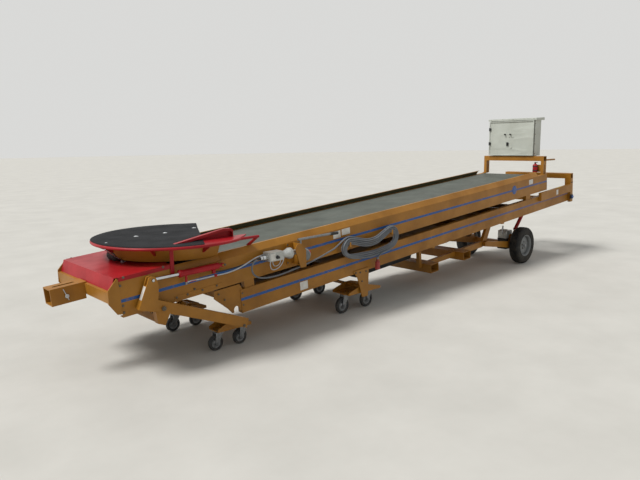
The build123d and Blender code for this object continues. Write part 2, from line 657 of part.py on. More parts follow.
def hooks():
    """Two hooks that the hank rests on, each a bar from the web with an upturned end."""
    body = []
    for x, z in hookPlaces:
        hook = rodY(x, z, hookRadius, coilY - 44, -halfWidth - 0.3)
        hook += rodY(x, z, 24, -halfWidth - 12, -halfWidth - 0.3)
        body.append(hook + Pos(x, coilY - 36, z + 20) * Cylinder(8, 52))
    return body


def leadCords():
    lead = [(-2641.6, -676, 908), (-2700, -676, 906), (-2739, -674, 860), (-2745, -672, 800),
            (-2714, -670, 746), (-2648, -668, 711), (-2546, -666, 696), (-2430, -664, 697),
            (-2320, -663, 708), (-2190, -662, 728), (-2050, -662, 752), (-1920, -663, 778),
            (-1800, -664, 808), (-1690, -665, 842), (-1591.7, coilY, 866.1),
            (-1511.8, coilY, 889.4)]
    tail = [(plugX, plugY, 665.7), (plugX, plugY, plugZ + 68.3)]
    return [cordTube("lead", lead, cordRadius), cordTube("tail", tail, cordRadius)]


def pumpHoses():
    upper = [(-3135.9, -654, 820), (-3070, -654, 820), (-2985, -653, 826), (-2895, -650, 842),
             (-2800, -647, 870), (-2705, -641, 905), (-2630, -637, 926), (-2560.3, -637, 926)]
    lower = [(-3135.9, -630, 846), (-3070, -630, 846), (-2985, -631, 848), (-2895, -633, 856),
             (-2800, -635, 869), (-2710, -637, 885), (-2632, -638, 896), (-2560.3, -638, 896)]
    return [cordTube("upper hose", upper, hoseRadius), cordTube("lower hose", lower, hoseRadius)]


def plugShape():
    body = Pos(plugX, plugY, plugZ - 6) * Cylinder(29, 84)
    body += Pos(plugX, plugY, plugZ + 51) * Cylinder(14, 34)
    return body + Pos(plugX, plugY, plugZ - 50) * Cylinder(32, 16)


def build():
    save("lower_frame", lowerFrame())
    save("fork_pockets", forkPockets())
    save("belly_pan", bellyPan())
    save("rear_portal", rearPortal())
    save("mid_stand", midStand())
    for name, _, x, y, radius, trail, width in castorTable:
        save("castor_fork_" + name, castorFork(x, y, radius, trail, width))
        save("castor_wheel_" + name, castorWheel(x, y, radius, trail, width))
    for label, sign in (("near", -1), ("far", 1)):
        y = sign * castorY
        save("mid_carrier_" + label, carrier(midCentre, midAxle, y, 241.5, 560, 280, 34, 420, 20))
        save("front_carrier_" + label, carrier(frontShaft[0], frontShaft, y, 201.5, 400, 170, 30, 290, 17))

    for label, sign in (("near", -1), ("far", 1)):
        barrel, rod = cylinderParts(barrelPin, rodPin, sign * cylinderY, 30, 452, 26, 190)
        save("lever_barrel_" + label, barrel + barrelPorts(sign * cylinderY))
        rod += rodY(*rodPin, pinRadius, *side(sign, leverY[0] + 2, leverY[1] + 6))
        save("lever_rod_" + label, rod)
        barrel, rod = cylinderParts(rearBarrelPin, rearRodPin, sign * rearCylinderY, 29, 330, 24, 160)
        save("axle_barrel_" + label, barrel)
        save("axle_rod_" + label, rod + openPin(sign))
        save("road_rim_" + label, roadRim(sign))
        save("road_tyre_" + label, roadTyre(sign))
    save("front_lever", frontLever())
    save("upper_frame", [upperFrame()] + framePins() + hooks())
    save("head_crossbar", headCrossbar())
    save("tow_socket", towSocket())
    save("hood", hood())
    save("table_plate", tablePlate())
    save("table_rim", tableRim())
    save("table_skirt", tableSkirt())
    save("table_guard", tableGuard())
    save("belt", beltLoop())
    save("drums", drums())
    save("rear_axle", rearAxle())
    save("drive_box", driveBox())
    save("cabinet_portal", cabinetPortal())
    save("cabinet", cabinetBody())
    save("cabinet_door", cabinetDoor())
    save("pump_bracket", pumpBracket())
    save("pump_unit", pumpUnit())
    save("pump_lever", pumpLever())
    save("pump_hoses", pumpHoses())
    save("cable_coil", hankShape())
    save("supply_cable", leadCords())
    save("cable_plug", plugShape())


build()
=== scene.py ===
from math import radians, sin, cos, pi
import bpy
import bmesh
import numpy as np
from mathutils import Matrix


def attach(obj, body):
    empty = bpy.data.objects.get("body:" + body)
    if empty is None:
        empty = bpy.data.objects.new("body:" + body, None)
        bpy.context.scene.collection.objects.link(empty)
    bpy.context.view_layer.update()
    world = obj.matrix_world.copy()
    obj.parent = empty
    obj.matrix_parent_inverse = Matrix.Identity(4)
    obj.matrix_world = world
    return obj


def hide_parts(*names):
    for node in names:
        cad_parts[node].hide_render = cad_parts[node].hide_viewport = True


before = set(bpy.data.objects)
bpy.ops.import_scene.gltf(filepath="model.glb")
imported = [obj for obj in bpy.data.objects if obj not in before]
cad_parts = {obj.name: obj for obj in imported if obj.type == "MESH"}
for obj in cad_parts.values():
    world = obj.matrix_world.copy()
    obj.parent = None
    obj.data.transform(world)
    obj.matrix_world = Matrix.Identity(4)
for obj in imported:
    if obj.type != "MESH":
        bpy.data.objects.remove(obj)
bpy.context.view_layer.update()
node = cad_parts
sides = (("Near", -1), ("Far", 1))
slope = radians(4.5)
rampStart = np.array([-2815.0, 0.0, 370.0])


def onRamp(s, y, n):  # a place s along the slope, y across and n square to it, in mm, as row coordinates in mm
    s, y, n = np.broadcast_arrays(np.asarray(s, float), np.asarray(y, float), np.asarray(n, float))
    return rampStart + np.stack([s * cos(slope) - n * sin(slope), y, s * sin(slope) + n * cos(slope)], -1)


# The eye's place in metres, its turn and tilt in degrees, its roll in radians, and the focal length in pixels.
view = {"place": (-6.015, -5.21, 2.03), "turn": 47.3, "down": 9.53, "roll": -0.015, "focal": 578.0,
        "photoWidth": 640.0, "sensor": 36.0, "farEnd": 200.0}


def makeCamera():
    data = bpy.data.cameras.new("camera")
    data.sensor_fit, data.sensor_width = "HORIZONTAL", view["sensor"]
    data.lens = view["sensor"] * view["focal"] / view["photoWidth"]
    data.clip_end = view["farEnd"]
    turn, down, roll = radians(view["turn"]), radians(view["down"]), view["roll"]
    ahead = np.array([cos(turn) * cos(down), sin(turn) * cos(down), -sin(down)])
    right = np.array([sin(turn), -cos(turn), 0.0])
    up = np.cross(right, ahead)
    right, up = cos(roll) * right + sin(roll) * up, cos(roll) * up - sin(roll) * right
    camera = bpy.data.objects.new("camera", data)
    bpy.context.scene.collection.objects.link(camera)
    rows = np.stack([right, up, -ahead], 1).tolist()
    camera.matrix_world = Matrix([[*row, where] for row, where in zip(rows, view["place"])] + [[0, 0, 0, 1]])
    bpy.context.scene.camera = camera


# Name: turn and height of where the light comes from in degrees, strength, softness in degrees.
lamps = {
    "key": (162.0, 54.0, 3.1, 20.0),
    "fill": (250.0, 40.0, 0.12, 60.0),
}


# What lights the object from all round, and what the camera and shiny surfaces see behind it: colour, strength.
surround = {"sky": ("#eef1f4", 0.46), "back": ("#f0f0ee", 0.8)}


def makeLight():
    for name, (turn, height, strength, soft) in lamps.items():
        data = bpy.data.lights.new(name, "SUN")
        data.energy, data.angle = strength, radians(soft)
        lamp = bpy.data.objects.new(name, data)
        bpy.context.scene.collection.objects.link(lamp)
        lamp.rotation_euler = (radians(90 - height), 0, radians(turn + 90))
    world = bpy.data.worlds.new("studio")
    bpy.context.scene.world = world
    world.use_nodes = True
    tree = world.node_tree
    tree.nodes.clear()
    seen = addNode(tree, "LightPath", out=None)
    either = seen["Is Camera Ray"]
    for ray in ("Is Glossy Ray", "Is Transmission Ray"):
        either = addNode(tree, "Math", {0: either, 1: seen[ray]}, operation="MAXIMUM")
    sky, back = [addNode(tree, "Background", {"Color": tone(colour), "Strength": strength})
                 for colour, strength in surround.values()]
    both = addNode(tree, "MixShader", {0: either, 1: sky, 2: back})
    addNode(tree, "OutputWorld", {"Surface": both}, out=None)
    bpy.context.scene.view_settings.view_transform = "Standard"


def tone(code):  # an sRGB hex value as linear colour
    value = np.array([int(code[i:i + 2], 16) for i in (1, 3, 5)]) / 255
    return (*np.where(value <= 0.04045, value / 12.92, ((value + 0.055) / 1.055) ** 2.4).tolist(), 1.0)


def addNode(tree, kind, inputs={}, out=0, **settings):
    # a node with its settings, its inputs linked or set; gives back one of its outputs, or all of them for None
    item = tree.nodes.new("ShaderNode" + kind)
    for key, value in settings.items():
        setattr(item, key, value)
    for key, value in inputs.items():
        if isinstance(value, bpy.types.NodeSocket):
            tree.links.new(value, item.inputs[key])
        else:
            item.inputs[key].default_value = value
    return item.outputs if out is None else item.outputs[out]


# Each finish: two tones of the surface, clouds in mm between them, dust or grime with its cloud size, chips that
# show what is under the paint, roughness and its spread, and a bump with its grain in mm and its depth in mm. Real
# orange peel and casting grain are finer than the 1 to 3 mm here, which is as coarse as it needs to be to show.
finishes = {
    # alkyd enamel sprayed on rolled steel: satin, uneven in thickness, dusty, chipped to browned steel
    "ochreEnamel": dict(base="#a87326", shade="#8c5c18", specular=0.3, cloud=420, grime="#66502f", grimeCloud=230,
                        grimeAmount=0.5, chip="#4a3a2a", chipCloud=14, chipAmount=0.10, rough=0.42, spread=0.16,
                        grain=1.6, depth=0.03),
    # the same enamel with its narrow blue bands masked and sprayed along the webs
    "bandedUpperInnerShade": dict(base="#a87326", shade="#8c5c18", specular=0.3, cloud=420, grime="#66502f", grimeCloud=230,
                        grimeAmount=0.5, chip="#4a3a2a", chipCloud=14, chipAmount=0.10, rough=0.42, spread=0.16,
                        # inner: a darker green-grey on the guards' inner faces, painted shade
                        grain=1.6, depth=0.03, band=(0.462, 0.014, "#1b5596"), fade=0.75, inner="#56614f"),
    "bandedLower": dict(base="#a47024", shade="#885917", specular=0.3, cloud=420, grime="#5a452a", grimeCloud=200,
                        grimeAmount=0.6, chip="#4a3a2a", chipCloud=14, chipAmount=0.12, rough=0.44, spread=0.16,
                        grain=1.6, depth=0.03, band=(0.138, 0.014, "#1b5596"), fade=0.5),
    # the same enamel in red: a little smoother, dusty, with small dark chips
    "redEnamel": dict(base="#a81a22", shade="#8a1018", cloud=300, grime="#6b3a33", grimeCloud=160,
                      grimeAmount=0.35, chip="#3a1c1a", chipCloud=11, chipAmount=0.08, rough=0.36, spread=0.1,
                      grain=1.4, depth=0.015, specular=0.25),
    # the same enamel in black on folded sheet: dull, its dust seen more than its scratches
    "blackEnamel": dict(base="#1d1d1e", shade="#141414", specular=0.35, cloud=200, grime="#4b463e",
                        grimeCloud=150, grimeAmount=0.5, rough=0.5, spread=0.15, grain=1.4, depth=0.04),
    # polyester powder coat on the sheet steel cabinet: even, fine orange peel, creased where its wrap wrinkles
    "creamPowderCoat": dict(base="#bfc2b8", shade="#afb2a7", cloud=420, grime="#8a8676", grimeCloud=240,
                            grimeAmount=0.5, rough=0.4, spread=0.1, grain=1.1, depth=0.05, crease=(640, 3.2)),
    # machine enamel brushed over castings: satin grey with oily dust
    "greyEnamel": dict(base="#7d8080", shade="#6a6c6c", cloud=160, grime="#4d4840", grimeCloud=120,
                       grimeAmount=0.5, rough=0.5, spread=0.14, grain=1.4, depth=0.05),
    # zinc plated pressed steel: spangled grey, dulled
    "zincPlate": dict(base="#8e9092", shade="#76787a", cloud=22, grime="#5a544b", grimeCloud=60, grimeAmount=0.5,
                      metallic=0.85, rough=0.42, spread=0.16, grain=1.0, depth=0.02),
    # hard chromed and ground steel rod: a clear mirror along its length
    "chromedRod": dict(base="#cfd1d4", shade="#bfc2c6", cloud=60, metallic=1.0, rough=0.13, spread=0.07,
                       grain=0.8, depth=0.004),
    # white vinyl foil, weathered: flat, a little glossy, yellowed in patches
    "blankLabel": dict(base="#d8d6d0", shade="#c8c4bb", cloud=60, grime="#8e877a", grimeCloud=40, grimeAmount=0.4,
                       rough=0.4, spread=0.1, grain=0.8, depth=0.01),
    # yellow vinyl foil, faded
    "yellowLabel": dict(base="#c9a41f", shade="#b08d1a", cloud=60, grime="#7a6a3a", grimeCloud=40,
                        grimeAmount=0.3, rough=0.4, spread=0.1, grain=0.8, depth=0.01),
    # pigmented blue vinyl and moulded plastic: even and satin
    "blueLabel": dict(base="#31569a", shade="#27477f", cloud=60, rough=0.35, spread=0.1, grain=0.8, depth=0.01),
    # calendered belt cover: matt green-grey with a cross rib, drawn about twice as coarse as real so that it shows
    "beltCover": dict(base="#555a52", shade="#464a43", cloud=340, grime="#7f7b70", grimeCloud=180,
                      grimeAmount=0.55, specular=0.35, rough=0.62, spread=0.14, grain=2.0, depth=0.08,
                      rib=("X", 14.0, 0.25)),
    # moulded sheet rubber mat: near black, matt, its fine ribs drawn about twice as coarse so that they show
    "matRubber": dict(base="#1b1c1f", shade="#141517", cloud=220, grime="#3e3c38", grimeCloud=150,
                      grimeAmount=0.35, specular=0.15, rough=0.7, spread=0.12, grain=1.5, depth=0.05,
                      rib=("Y", 12.0, 0.3)),
    # vulcanised carbon black rubber: matt, greyed by dust in its tread
    "tyreRubber": dict(base="#191919", shade="#121212", specular=0.35, cloud=120, grime="#5f594e", grimeCloud=90,
                       grimeAmount=0.7, rough=0.78, spread=0.1, grain=1.5, depth=0.12),
    # moulded elastic rubber: matt dark grey with a dusty tread
    "castorRubber": dict(base="#2b2c2e", shade="#202122", cloud=60, grime="#6a6459", grimeCloud=50,
                         grimeAmount=0.7, rough=0.72, spread=0.1, grain=1.2, depth=0.08),
    # extruded grey rubber sheath, aged: a dull sheen along each strand
    "cableSheath": dict(base="#6b6f74", shade="#5a5e63", cloud=90, grime="#7d776c", grimeCloud=60,
                        grimeAmount=0.4, rough=0.52, spread=0.1, grain=1.0, depth=0.03),
    # extruded synthetic rubber hose cover: matt blue-black
    "hoseCover": dict(base="#2c3138", shade="#22262b", cloud=60, grime="#5b5851", grimeCloud=60, grimeAmount=0.4,
                      rough=0.6, spread=0.1, grain=1.2, depth=0.06),
    # moulded glass filled polyamide: even red with a low sheen
    "redPolyamide": dict(base="#a33531", shade="#8c2a27", cloud=50, grime="#5b3430", grimeCloud=30,
                         grimeAmount=0.3, rough=0.42, spread=0.08, grain=0.9, depth=0.03),
    # moulded polyamide and dipped vinyl grips: dark with a soft sheen
    "blackGrip": dict(base="#1c1c1d", shade="#151516", cloud=50, grime="#4c4740", grimeCloud=40, grimeAmount=0.4,
                      rough=0.55, spread=0.1, grain=1.0, depth=0.05),
    # sand cast and tumbled aluminium alloy, dusty in its hollows
    "castAlloy": dict(base="#b9bab6", shade="#a2a39f", cloud=40, grime="#57514a", grimeCloud=34, grimeAmount=0.55,
                      metallic=0.55, rough=0.36, spread=0.2, grain=1.0, depth=0.08),
    # braided or drawn steel line, bright
    "steelLine": dict(base="#bfc3c7", shade="#9da2a7", cloud=30, grime="#5f5a52", grimeCloud=40, grimeAmount=0.45,
                      metallic=0.8, rough=0.32, spread=0.14, grain=1.0, depth=0.05),
    # nickel plated pressed cup washers: bright spots, smudged
    "brightStud": dict(base="#c4c6c6", shade="#aeb0b0", cloud=12, grime="#6a645a", grimeCloud=18,
                       grimeAmount=0.35, metallic=0.4, rough=0.4, spread=0.12, grain=0.8, depth=0.01),
    # zinc plated bolts, dulled by grease and dust to a brownish grey
    "boltZinc": dict(base="#6f675a", shade="#5a5347", cloud=8, grime="#4a4034", grimeCloud=20, grimeAmount=0.6,
                     metallic=0.7, rough=0.45, spread=0.15, grain=0.8, depth=0.01),
    # floated concrete, swept: pale and matt
    "floorConcrete": dict(base="#c9c6be", shade="#bfbcb4", cloud=900, rough=0.85, spread=0.08, grain=3.0,
                          depth=0.2),
}


# The finishes' shared patterns: where clouds blend, how paint wears, chips and gathers dust, and where painted
# shade goes on the guards' inner faces. Clouds are size in mm and detail, spans are from, to and the new limits,
# and a band's or a guard's places are in metres.
wearAndShade = {
    "noiseRough": 0.6, "toneDetail": 4.0, "clouds": (0.3, 0.7), "webFace": 0.5895, "bandWave": (60, 2.0),
    "bandWaveSpan": (0.0, 1.0, -0.0015, 0.0015), "bandWear": (34, 5.0), "bandWearSpan": (0.56, 0.74, 1.0, 0.45),
    "fadeRun": (0.4, 3.6), "guardStart": 0.11, "facing": -0.2, "chipDetail": 6.0, "chipEdge": (0.70, 0.72),
    "chipReach": 0.4, "patch": (0.7, 2.0), "patchEdge": (0.5, 0.62), "chipRough": 0.3, "dustDetail": 6.0,
    "dustEdge": (0.42, 0.78), "dustHeight": (0.0, 0.9, 1.0, 0.35), "dustRough": 0.25, "grainDetail": 3.0,
    "creaseDetail": 2.0, "creaseStretch": (0.8, 0.35, 1.5), "creaseEdge": 0.05,
}


def makeFinish(name):
    spec = finishes[name]
    material = bpy.data.materials.new(name)
    material.use_nodes = True
    tree = material.node_tree
    tree.nodes.clear()
    place = addNode(tree, "TexCoord", out="Object")
    x, y, z = addNode(tree, "SeparateXYZ", {0: place}, out=None)
    # the cloud patterns this finish needs: size in mm, detail and stretch
    even = (1, 1, 1)
    clouds = {"tones": (spec["cloud"], wearAndShade["toneDetail"], even), "grain": (spec["grain"], wearAndShade["grainDetail"], even)}
    if "band" in spec:
        for key in ("bandWave", "bandWear"):
            clouds[key] = (*wearAndShade[key], even)
    if "chip" in spec:
        share, detail = wearAndShade["patch"]
        clouds["chips"] = (spec["chipCloud"], wearAndShade["chipDetail"], even)
        clouds["patches"] = (spec["cloud"] * share, detail, even)
    if "grime" in spec:
        clouds["dust"] = (spec["grimeCloud"], wearAndShade["dustDetail"], even)
    if "crease" in spec:
        clouds["creases"] = (spec["crease"][0], wearAndShade["creaseDetail"], wearAndShade["creaseStretch"])
    for key, (size, detail, stretch) in clouds.items():
        moved = addNode(tree, "Mapping", {"Vector": place, "Scale": stretch})
        noise = {"Vector": moved, "Scale": 1000.0 / size, "Detail": detail, "Roughness": wearAndShade["noiseRough"]}
        clouds[key] = addNode(tree, "TexNoise", noise)
    low, high = wearAndShade["clouds"]
    blend = addNode(tree, "MapRange", {0: clouds["tones"], 1: low, 2: high})
    colour = {0: blend, 6: tone(spec["base"]), 7: tone(spec["shade"])}
    colour = addNode(tree, "Mix", colour, 2, data_type="RGBA")
    smooth, coarse = spec["rough"] - spec["spread"] / 2, spec["rough"] + spec["spread"] / 2
    rough = addNode(tree, "MapRange", {0: clouds["tones"], 1: low, 2: high, 3: smooth, 4: coarse})
    if "band" in spec:
        # the band is where the height square to the slope is within its half width, on the webs' outer faces
        middle, half, paint = spec["band"]
        middle += (rampStart[2] * cos(slope) - rampStart[0] * sin(slope)) / 1000
        square = (-sin(slope), 0, cos(slope))
        height = addNode(tree, "VectorMath", {0: place, 1: square}, "Value", operation="DOT_PRODUCT")
        wave = addNode(tree, "MapRange", dict(enumerate((clouds["bandWave"], *wearAndShade["bandWaveSpan"]))))
        height = addNode(tree, "Math", {0: height, 1: wave}, operation="ADD")
        inside = addNode(tree, "Math", {0: height, 1: middle, 2: half}, operation="COMPARE")
        outer = addNode(tree, "Math", {0: y}, operation="ABSOLUTE")
        outer = addNode(tree, "Math", {0: outer, 1: wearAndShade["webFace"]}, operation="GREATER_THAN")
        faded = addNode(tree, "MapRange", dict(enumerate((x, *wearAndShade["fadeRun"], 1.0, spec["fade"]))))
        worn = addNode(tree, "MapRange", dict(enumerate((clouds["bandWear"], *wearAndShade["bandWearSpan"]))))
        for share in (outer, faded, worn):
            inside = addNode(tree, "Math", {0: inside, 1: share}, operation="MULTIPLY")
        colour = addNode(tree, "Mix", {0: inside, 6: colour, 7: tone(paint)}, 2, data_type="RGBA")
        if "inner" in spec:  # painted shade on the guards' inner faces, which look across the belt: a darker green-grey
            facing = addNode(tree, "SeparateXYZ", {0: addNode(tree, "TexCoord", out="Normal")}, 1)
            facing = addNode(tree, "Math", {0: facing, 1: y}, operation="MULTIPLY")
            facing = addNode(tree, "Math", {0: facing, 1: wearAndShade["facing"]}, operation="LESS_THAN")
            top = addNode(tree, "Math", {0: height, 1: middle + wearAndShade["guardStart"]}, operation="GREATER_THAN")
            facing = addNode(tree, "Math", {0: facing, 1: top}, operation="MULTIPLY")
            colour = addNode(tree, "Mix", {0: facing, 6: colour, 7: tone(spec["inner"])}, 2, data_type="RGBA")
    if "chip" in spec:
        low, high = (edge - spec["chipAmount"] * wearAndShade["chipReach"] for edge in wearAndShade["chipEdge"])
        chips = addNode(tree, "MapRange", {0: clouds["chips"], 1: low, 2: high})
        patches = addNode(tree, "MapRange", dict(enumerate((clouds["patches"], *wearAndShade["patchEdge"]))))
        chips = addNode(tree, "Math", {0: chips, 1: patches}, operation="MULTIPLY")
        colour = addNode(tree, "Mix", {0: chips, 6: colour, 7: tone(spec["chip"])}, 2, data_type="RGBA")
        chips = addNode(tree, "MapRange", {0: chips, 4: wearAndShade["chipRough"]})
        rough = addNode(tree, "Math", {0: rough, 1: chips}, operation="ADD")
    if "grime" in spec:  # dust in clouds, heavier towards the floor
        dust = (clouds["dust"], *wearAndShade["dustEdge"], 0.0, spec["grimeAmount"])
        dust = addNode(tree, "MapRange", dict(enumerate(dust)))
        lower = addNode(tree, "MapRange", dict(enumerate((z, *wearAndShade["dustHeight"]))))
        dust = addNode(tree, "Math", {0: dust, 1: lower}, operation="MULTIPLY")
        colour = addNode(tree, "Mix", {0: dust, 6: colour, 7: tone(spec["grime"])}, 2, data_type="RGBA")
        dust = addNode(tree, "MapRange", {0: dust, 4: wearAndShade["dustRough"]})
        rough = addNode(tree, "Math", {0: rough, 1: dust}, operation="ADD")
    height = addNode(tree, "Math", {0: clouds["grain"], 1: spec["depth"] / 1000}, operation="MULTIPLY")
    if "crease" in spec:  # clouds folded at their middle value make creases, whose depth is in mm
        fold = addNode(tree, "Math", {0: clouds["creases"], 1: 0.5}, operation="SUBTRACT")
        fold = addNode(tree, "Math", {0: fold}, operation="ABSOLUTE")
        fold = {0: fold, 1: 0.0, 2: wearAndShade["creaseEdge"], 3: spec["crease"][1] / 1000, 4: 0.0}
        height = addNode(tree, "Math", {0: height, 1: addNode(tree, "MapRange", fold)}, operation="ADD")
    if "rib" in spec:  # the wave pattern repeats every pi / 10 units
        axis, pitch, deep = spec["rib"]
        wave = {"Vector": place, "Scale": 1000.0 * pi / 10 / pitch, "Distortion": 0.0}
        wave = addNode(tree, "TexWave", wave, 1, wave_type="BANDS", bands_direction=axis)
        wave = addNode(tree, "Math", {0: wave, 1: deep / 1000}, operation="MULTIPLY")
        height = addNode(tree, "Math", {0: height, 1: wave}, operation="ADD")
    bump = addNode(tree, "Bump", {"Height": height, "Strength": 1.0, "Distance": 1.0})
    shader = addNode(tree, "BsdfPrincipled", {
        "Base Color": colour, "Roughness": rough, "Metallic": spec.get("metallic", 0.0), "Normal": bump,
        "Specular IOR Level": spec.get("specular", 0.5)})
    addNode(tree, "OutputMaterial", {"Surface": shader}, out=None)
    return material


def gridFaces(rows, cols, roundRows=False, roundCols=False):  # the quads between neighbours of a rows by cols grid
    r = np.arange(rows if roundRows else rows - 1)[:, None]
    c = np.arange(cols if roundCols else cols - 1)[None, :]
    r2, c2 = (r + 1) % rows, (c + 1) % cols
    return np.stack([r * cols + c, r * cols + c2, r2 * cols + c2, r2 * cols + c], -1).reshape(-1, 4)


def tubeFaces(rows, cols):  # the quads of a tube of rings and the two faces that close its ends
    ends = [list(range(cols))[::-1], list(range((rows - 1) * cols, rows * cols))]
    return gridFaces(rows, cols, roundCols=True).tolist() + ends


def axesFor(direction):  # two unit vectors square to a direction, and the direction
    w = np.asarray(direction, float) / np.linalg.norm(direction)
    side = np.array([0.0, 0.0, 1.0]) if abs(w[2]) < 0.9 else np.array([1.0, 0.0, 0.0])
    u = np.cross(side, w)
    u /= np.linalg.norm(u)
    return np.stack([u, np.cross(w, u), w])


def lathe(profile, centre, direction, steps=32):
    # each profile point (radius, height) runs round the axis: centre + radius (cos a u + sin a v) + height w
    profile = np.asarray(profile, float)
    angle = np.arange(steps) * 2 * pi / steps
    u, v, w = axesFor(direction)
    ring = np.cos(angle)[:, None] * u + np.sin(angle)[:, None] * v
    points = np.asarray(centre, float) + profile[:, None, :1] * ring + profile[:, None, 1:] * w
    return points.reshape(-1, 3), gridFaces(len(profile), steps, roundCols=True)


def sweep(path, section, reference=(0, 0, 1)):
    # A closed section (across, up) is carried along the path: point + across * side + up * lift, square to the path.
    path, section = np.asarray(path, float), np.asarray(section, float)
    ahead = np.gradient(path, axis=0)
    ahead /= np.linalg.norm(ahead, axis=1)[:, None]
    side = np.cross(ahead, reference)
    side /= np.linalg.norm(side, axis=1)[:, None]
    lift = np.cross(side, ahead)
    points = path[:, None] + section[None, :, :1] * side[:, None] + section[None, :, 1:] * lift[:, None]
    return points.reshape(-1, 3), tubeFaces(len(path), len(section))


def roundSection(radius, steps):  # a circle as (across, up): radius times the cosine and sine of the angle
    angle = np.arange(steps) * 2 * pi / steps
    return np.stack([np.cos(angle) * radius, np.sin(angle) * radius], 1)


def roundedBox(low, high, edge, turn=0.0):
    # A box whose upright edges are quarter rounds and whose rims are chamfered: one rounded outline at six heights.
    low, high = np.asarray(low, float), np.asarray(high, float)
    middle, half = (low + high) / 2, (high - low) / 2
    angle = np.linspace(0, pi / 2, 5)
    arc = np.stack([np.cos(angle), np.sin(angle)], 1)
    quarters = [arc * [1, 1], arc[::-1] * [-1, 1], arc * [-1, -1], arc[::-1] * [1, -1]]
    corners = np.repeat([[1, 1], [-1, 1], [-1, -1], [1, -1]], len(angle), axis=0)
    around = np.concatenate(quarters)
    inset = np.array([edge * 0.6, edge * 0.15, 0, 0, edge * 0.15, edge * 0.6])
    rise = edge * np.array([0, 0.45, 1])
    height = np.concatenate([-half[2] + rise, half[2] - rise[::-1]])
    flat = corners[None] * (half[:2] - edge) + around[None] * (edge - inset[:, None, None])
    points = np.concatenate([flat, np.broadcast_to(height[:, None, None], (*flat.shape[:2], 1))], -1)
    rows, cols = points.shape[:2]
    points = points.reshape(-1, 3)
    if turn:
        points[:, ::2] = points[:, ::2] @ np.array([[cos(turn), sin(turn)], [-sin(turn), cos(turn)]])
    return points + middle, tubeFaces(rows, cols)


def pathThrough(points, count):
    # a smooth run through the points: cubic through each with its neighbours' chord as the tangent there
    points = np.asarray(points, float)
    t = np.linspace(0, len(points) - 1.0, count)
    i = np.clip(t.astype(int), 0, len(points) - 2)
    f = (t - i)[:, None]
    tangent = np.gradient(points, axis=0)
    a, b, leave, arrive = points[i], points[i + 1], tangent[i], tangent[i + 1]
    run = (2 * f ** 3 - 3 * f ** 2 + 1) * a + (f ** 3 - 2 * f ** 2 + f) * leave
    return run + (3 * f ** 2 - 2 * f ** 3) * b + (f ** 3 - f ** 2) * arrive


def pipe(points, count, radius, steps=14):  # a round pipe along a smooth run through the points
    return sweep(pathThrough(points, count), roundSection(radius, steps), (0, 1, 0))


def listed(faces):  # faces as plain lists
    return faces.tolist() if isinstance(faces, np.ndarray) else faces


def joined(shapes):  # several (points, faces) as one
    points, faces, first = [], [], 0
    for shapePoints, shapeFaces in shapes:
        points.append(np.asarray(shapePoints, float))
        faces += [[first + i for i in face] for face in listed(shapeFaces)]
        first += len(shapePoints)
    return np.concatenate(points), faces


materials = {}


def look(name):
    if name not in materials:
        materials[name] = makeFinish(name)
    return materials[name]


def makePiece(name, shape, finish, body, slotName, sharp=38.0):
    # points in mm and faces become one smooth-shaded piece with sharp edges kept, riding on its body; points closer
    # than a thousandth of a mm are merged
    points, faces = shape
    mesh = bpy.data.meshes.new(name)
    mesh.from_pydata((np.asarray(points) / 1000).tolist(), [], listed(faces))
    work = bmesh.new()
    work.from_mesh(mesh)
    bmesh.ops.remove_doubles(work, verts=work.verts, dist=1e-6)
    bmesh.ops.recalc_face_normals(work, faces=work.faces)
    work.to_mesh(mesh)
    work.free()
    mesh.materials.append(look(finish))
    mesh.shade_smooth()
    mesh.set_sharp_from_angle(angle=radians(sharp))
    piece = bpy.data.objects.new(name, mesh)
    bpy.context.scene.collection.objects.link(piece)
    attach(piece, body)
    return piece


def makeParts(parts):
    # each piece of a table: its forms with their numbers, then its finish, body and slot, and its sharp edges' angle
    # where that differs
    for name, (forms, *rest) in parts.items():
        makePiece(name, joined([form(*numbers) for form, *numbers in forms]), *rest)


def boltForm(kind):  # in units of the thread's diameter, its axis along +z, seated at z = 0
    if kind == "hex":
        washer = [(0, -0.06), (1.05, -0.06), (1.05, 0.14), (0.98, 0.18), (0, 0.18)]
        head = [(0, 0.15), (0.9, 0.15), (0.98, 0.2), (0.98, 0.72), (0.88, 0.82), (0, 0.84)]
        stub = [(0, 0.8), (0.5, 0.8), (0.5, 1.0), (0.42, 1.08), (0, 1.08)]
        return joined([lathe(profile, (0, 0, 0), (0, 0, 1), steps)
                       for profile, steps in ((washer, 20), (head, 6), (stub, 12))])
    if kind == "dome":  # a raised cup washer with a domed head in it
        cup = [(0, -0.06), (2.1, -0.06), (2.1, 0.08), (1.6, 0.34), (1.15, 0.4), (1.0, 0.34)]
        return lathe(cup + [(0.9, 0.5), (0.5, 0.68), (0, 0.74)], (0, 0, 0), (0, 0, 1), 20)
    dome = [(0, -0.05), (0.9, -0.05), (0.9, 0.08), (0.7, 0.3), (0.35, 0.42), (0, 0.45)]
    return lathe(dome, (0, 0, 0), (0, 0, 1), 12)


def boltsAt(kind, rows):
    # every base point times the size, turned to the row's direction, and moved to its place, for all rows at once
    points, faces = boltForm(kind)
    rows = np.asarray(rows, float)
    turns = np.stack([axesFor(row[3:6]) for row in rows])
    placed = np.einsum("pk,r,rkj->rpj", points, rows[:, 6], turns) + rows[:, None, :3]
    return placed.reshape(-1, 3), [[i + n * len(points) for i in face] for n in range(len(rows)) for face in faces]


def mirrored(rows):  # the same rows on the far side as well
    rows = np.asarray(rows, float)
    return np.concatenate([rows, rows * [1, -1, 1, 1, -1, 1, 1]])


def faceBolts(places, y, size):  # rows for bolts on an upright face at -y
    x, z = np.asarray(places, float).T
    one = np.ones_like(x)
    return np.stack([x, -y * one, z, 0 * one, -one, 0 * one, size * one], 1)


def rampFace(pairs, y, size):  # the same with places along and square to the slope
    along, square = np.asarray(pairs).T
    return faceBolts(onRamp(along, -y, square)[:, ::2], y, size)


